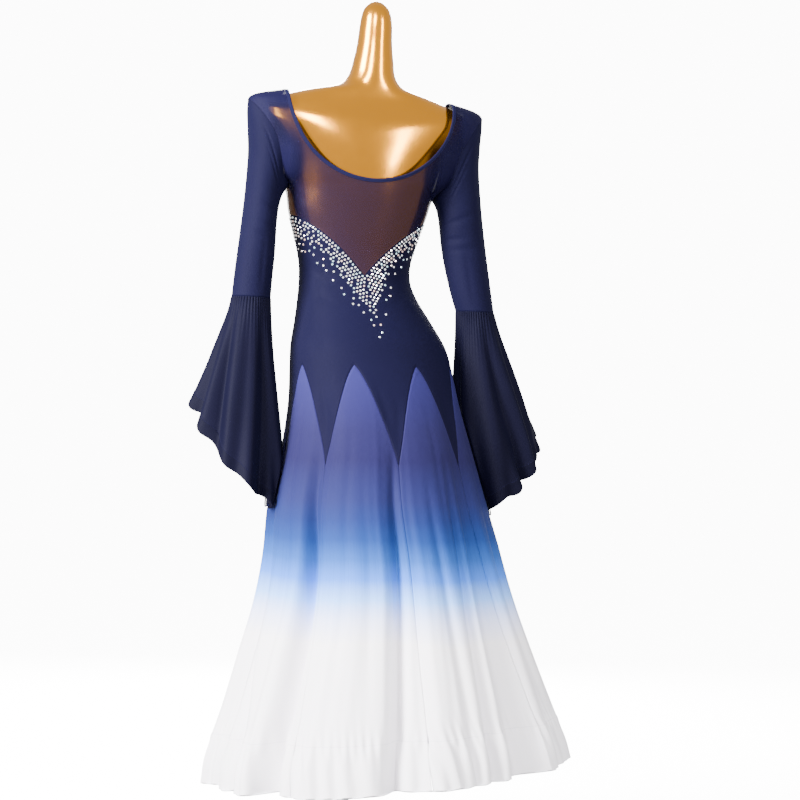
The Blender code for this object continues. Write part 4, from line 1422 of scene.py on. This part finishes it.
class DRESS_OT_stones(bpy.types.Operator):
    """Set the rhinestones in their V-shaped band, thinning out below it"""

    bl_idname = "dress.stones"
    bl_label = "Rhinestones"

    def execute(self, context):
        pitch = sizes().pitch
        surface = partial(garment_surface, fine=False)
        dice = Random(12)
        places = []
        taken = []

        def try_place(height, angle, least):
            point = surface(height, angle)
            if all((point - other).length > least for other in taken):
                taken.append(point)
                places.append((height, angle))

        for side in (1, -1):
            edge = self.edge_points(side, pitch)
            for row in range(STONE_ROWS):
                below = STONE_START + row * pitch * STONE_ROW_STEP
                for height, angle, run, climb in edge:
                    half = pitch / 2 * (row % 2)
                    radius = BODY_RADIUS
                    at_angle = angle + side * (run * half + climb * below) / radius
                    at_height = height + climb * half - run * below
                    away = abs(turn_between(at_angle, 0.0)) * radius
                    if side * turn_between(at_angle, 0.0) < -STONE_PAST_MIDDLE:
                        continue
                    depth = yoke_edge(at_angle) - at_height
                    limit = straight(BAND_ROWS, away) * (1 + STONE_UNEVEN * dice.uniform(-1, 1))
                    if depth < limit:
                        jitter = dice.uniform(-1, 1) * STONE_JITTER
                        at_angle += dice.uniform(-1, 1) * STONE_JITTER / radius
                        try_place(at_height + jitter, at_angle, pitch * STONE_APART)
        for _ in range(sizes().strays):
            angle = dice.uniform(-1, 1) * STRAY_SPREAD
            away = abs(angle) * BODY_RADIUS
            reach = STRAY_REACH - STRAY_LOSS * abs(angle) / STRAY_SPREAD
            below = straight(BAND_ROWS, away) + STRAY_START + reach * dice.random() ** STRAY_CROWDING
            try_place(yoke_edge(angle) - below, angle, pitch * STRAY_APART)
        bm = bmesh.new()
        layer = bm.loops.layers.uv.new("UVMap")
        radius = sizes().stone / 2
        for height, angle in places:
            normal = normal_at(surface, height, angle)
            seat = surface(height, angle) + normal * (body_out(height, angle) + radius * STONE_SEAT)
            turn = normal.to_track_quat("Z", "Y") @ Quaternion((0, 0, 1), dice.uniform(0, pi))
            tilt = Quaternion((dice.uniform(-1, 1), dice.uniform(-1, 1), 0), STONE_TILT)
            matrix = Matrix.Translation(seat) @ (turn @ tilt).to_matrix().to_4x4()
            made = bmesh.ops.create_cone(
                bm, cap_ends=True, segments=8, radius1=radius, radius2=radius * STONE_TABLE,
                depth=radius * STONE_HEIGHT, matrix=matrix,
            )
            tint = dice.random()
            for face in {face for vert in made["verts"] for face in vert.link_faces}:
                for loop in face.loops:
                    loop[layer].uv = (tint, 0.5)
        piece = finish_mesh(bm, "rhinestones", crystal("crystal"))
        piece.data.shade_flat()
        return {"FINISHED"}

    def edge_points(self, side, pitch):
        """Places along the yoke's edge a pitch apart, with the edge's slope, from before the centre back."""
        found = []
        angle = -0.32
        while angle < pi:
            if angle < 0:
                height = yoke_edge(0) + BACK_RISE * SIDE_REACH * angle
                slope = BACK_RISE * SIDE_REACH / BODY_RADIUS
            else:
                height = yoke_edge(angle)
                slope = (yoke_edge(angle + 0.01) - yoke_edge(angle)) / (0.01 * BODY_RADIUS)
            run = 1 / sqrt(1 + slope * slope)
            found.append((height, side * angle, run, slope * run))
            angle += pitch * run / BODY_RADIUS
        return found


class DRESS_OT_stage(bpy.types.Operator):
    """Make the pale floor, the soft studio light and the camera"""

    bl_idname = "dress.stage"
    bl_label = "Stage"

    def execute(self, context):
        bm = bmesh.new()
        bmesh.ops.create_circle(bm, cap_ends=True, segments=96, radius=FLOOR_RADIUS)
        bmesh.ops.translate(bm, verts=bm.verts, vec=(0, 0, FLOOR_LEVEL))
        mesh = bpy.data.meshes.new("floor")
        bm.to_mesh(mesh)
        bm.free()
        mesh.materials.append(pale_floor("pale_floor", chosen("ground")))
        ground = bpy.data.objects.new("floor", mesh)
        ground.visible_diffuse = False
        ground.visible_glossy = False
        context.scene.collection.objects.link(ground)
        towards = Vector((sin(CAMERA_TURN), cos(CAMERA_TURN), 0))
        right = Vector((-cos(CAMERA_TURN), sin(CAMERA_TURN), 0))
        for name, turn, height, distance, width, tall, power in LIGHTS:
            lamp = bpy.data.lights.new(name, "AREA")
            lamp.shape = "RECTANGLE"
            lamp.size = width
            lamp.size_y = tall
            lamp.energy = power
            panel = bpy.data.objects.new(name, lamp)
            aside = towards * cos(radians(turn)) - right * sin(radians(turn))
            panel.location = aside * distance + Vector((0, 0, height))
            panel.rotation_mode = "QUATERNION"
            panel.rotation_quaternion = (panel.location - Vector(LIGHT_AIM)).to_track_quat("Z", "Y")
            context.scene.collection.objects.link(panel)
        self.add_sky(context)
        lens = bpy.data.cameras.new("camera")
        lens.lens = CAMERA_LENS
        lens.clip_end = 100
        camera = bpy.data.objects.new("camera", lens)
        camera.location = towards * CAMERA_DISTANCE + right * CAMERA_ASIDE + Vector((0, 0, CAMERA_HEIGHT))
        camera.rotation_mode = "QUATERNION"
        ahead = -towards * cos(CAMERA_PITCH) + Vector((0, 0, sin(CAMERA_PITCH)))
        camera.rotation_quaternion = ahead.to_track_quat("-Z", "Y") @ Quaternion((0, 0, 1), CAMERA_ROLL)
        context.scene.collection.objects.link(camera)
        context.scene.camera = camera
        return {"FINISHED"}

    def add_sky(self, context):
        """White all round, dimmer for the light that it gives than for what the camera sees."""
        world = bpy.data.worlds.new("studio")
        world.use_nodes = True
        tree = world.node_tree
        back = tree.nodes["Background"]
        back.inputs["Color"].default_value = (1.0, 1.0, 1.0, 1.0)
        path = tree.nodes.new("ShaderNodeLightPath")
        blend = tree.nodes.new("ShaderNodeMapRange")
        tree.links.new(blend.inputs["Value"], path.outputs["Is Camera Ray"])
        blend.inputs["To Min"].default_value = SKY_LIGHT
        blend.inputs["To Max"].default_value = SKY_SEEN
        tree.links.new(back.inputs["Strength"], blend.outputs[0])
        context.scene.world = world


class DRESS_PT_panel(bpy.types.Panel):
    """The dress's sizes, colours and pieces"""

    bl_idname = "DRESS_PT_panel"
    bl_label = "Ballroom dress"
    bl_space_type = "VIEW_3D"
    bl_region_type = "UI"
    bl_category = "Dress"

    def draw(self, context):
        for group in (context.scene.dress_sizes, context.scene.dress_colours):
            for name in type(group).__annotations__:
                self.layout.prop(group, name)
        for operator in OPERATORS:
            self.layout.operator(operator.bl_idname)


OPERATORS = (
    DRESS_OT_stage,
    DRESS_OT_form,
    DRESS_OT_stand,
    DRESS_OT_bodice,
    DRESS_OT_yokes,
    DRESS_OT_binding,
    DRESS_OT_stones,
    DRESS_OT_godets,
    DRESS_OT_sleeves,
    DRESS_OT_flounces,
)
CLASSES = (DressSizes, DressColours, *OPERATORS, DRESS_PT_panel)


def register():
    for kind in CLASSES:
        bpy.utils.register_class(kind)
    bpy.types.Scene.dress_sizes = PointerProperty(type=DressSizes)
    bpy.types.Scene.dress_colours = PointerProperty(type=DressColours)


def unregister():
    del bpy.types.Scene.dress_colours
    del bpy.types.Scene.dress_sizes
    for kind in reversed(CLASSES):
        bpy.utils.unregister_class(kind)


def main():
    """Make the stage and every piece."""
    register()
    bpy.ops.dress.stage()
    bpy.ops.dress.form()
    bpy.ops.dress.stand()
    bpy.ops.dress.bodice()
    bpy.ops.dress.yokes()
    bpy.ops.dress.binding()
    bpy.ops.dress.stones()
    bpy.ops.dress.godets()
    bpy.ops.dress.sleeves()
    bpy.ops.dress.flounces()


if __name__ == "__main__":
    main()
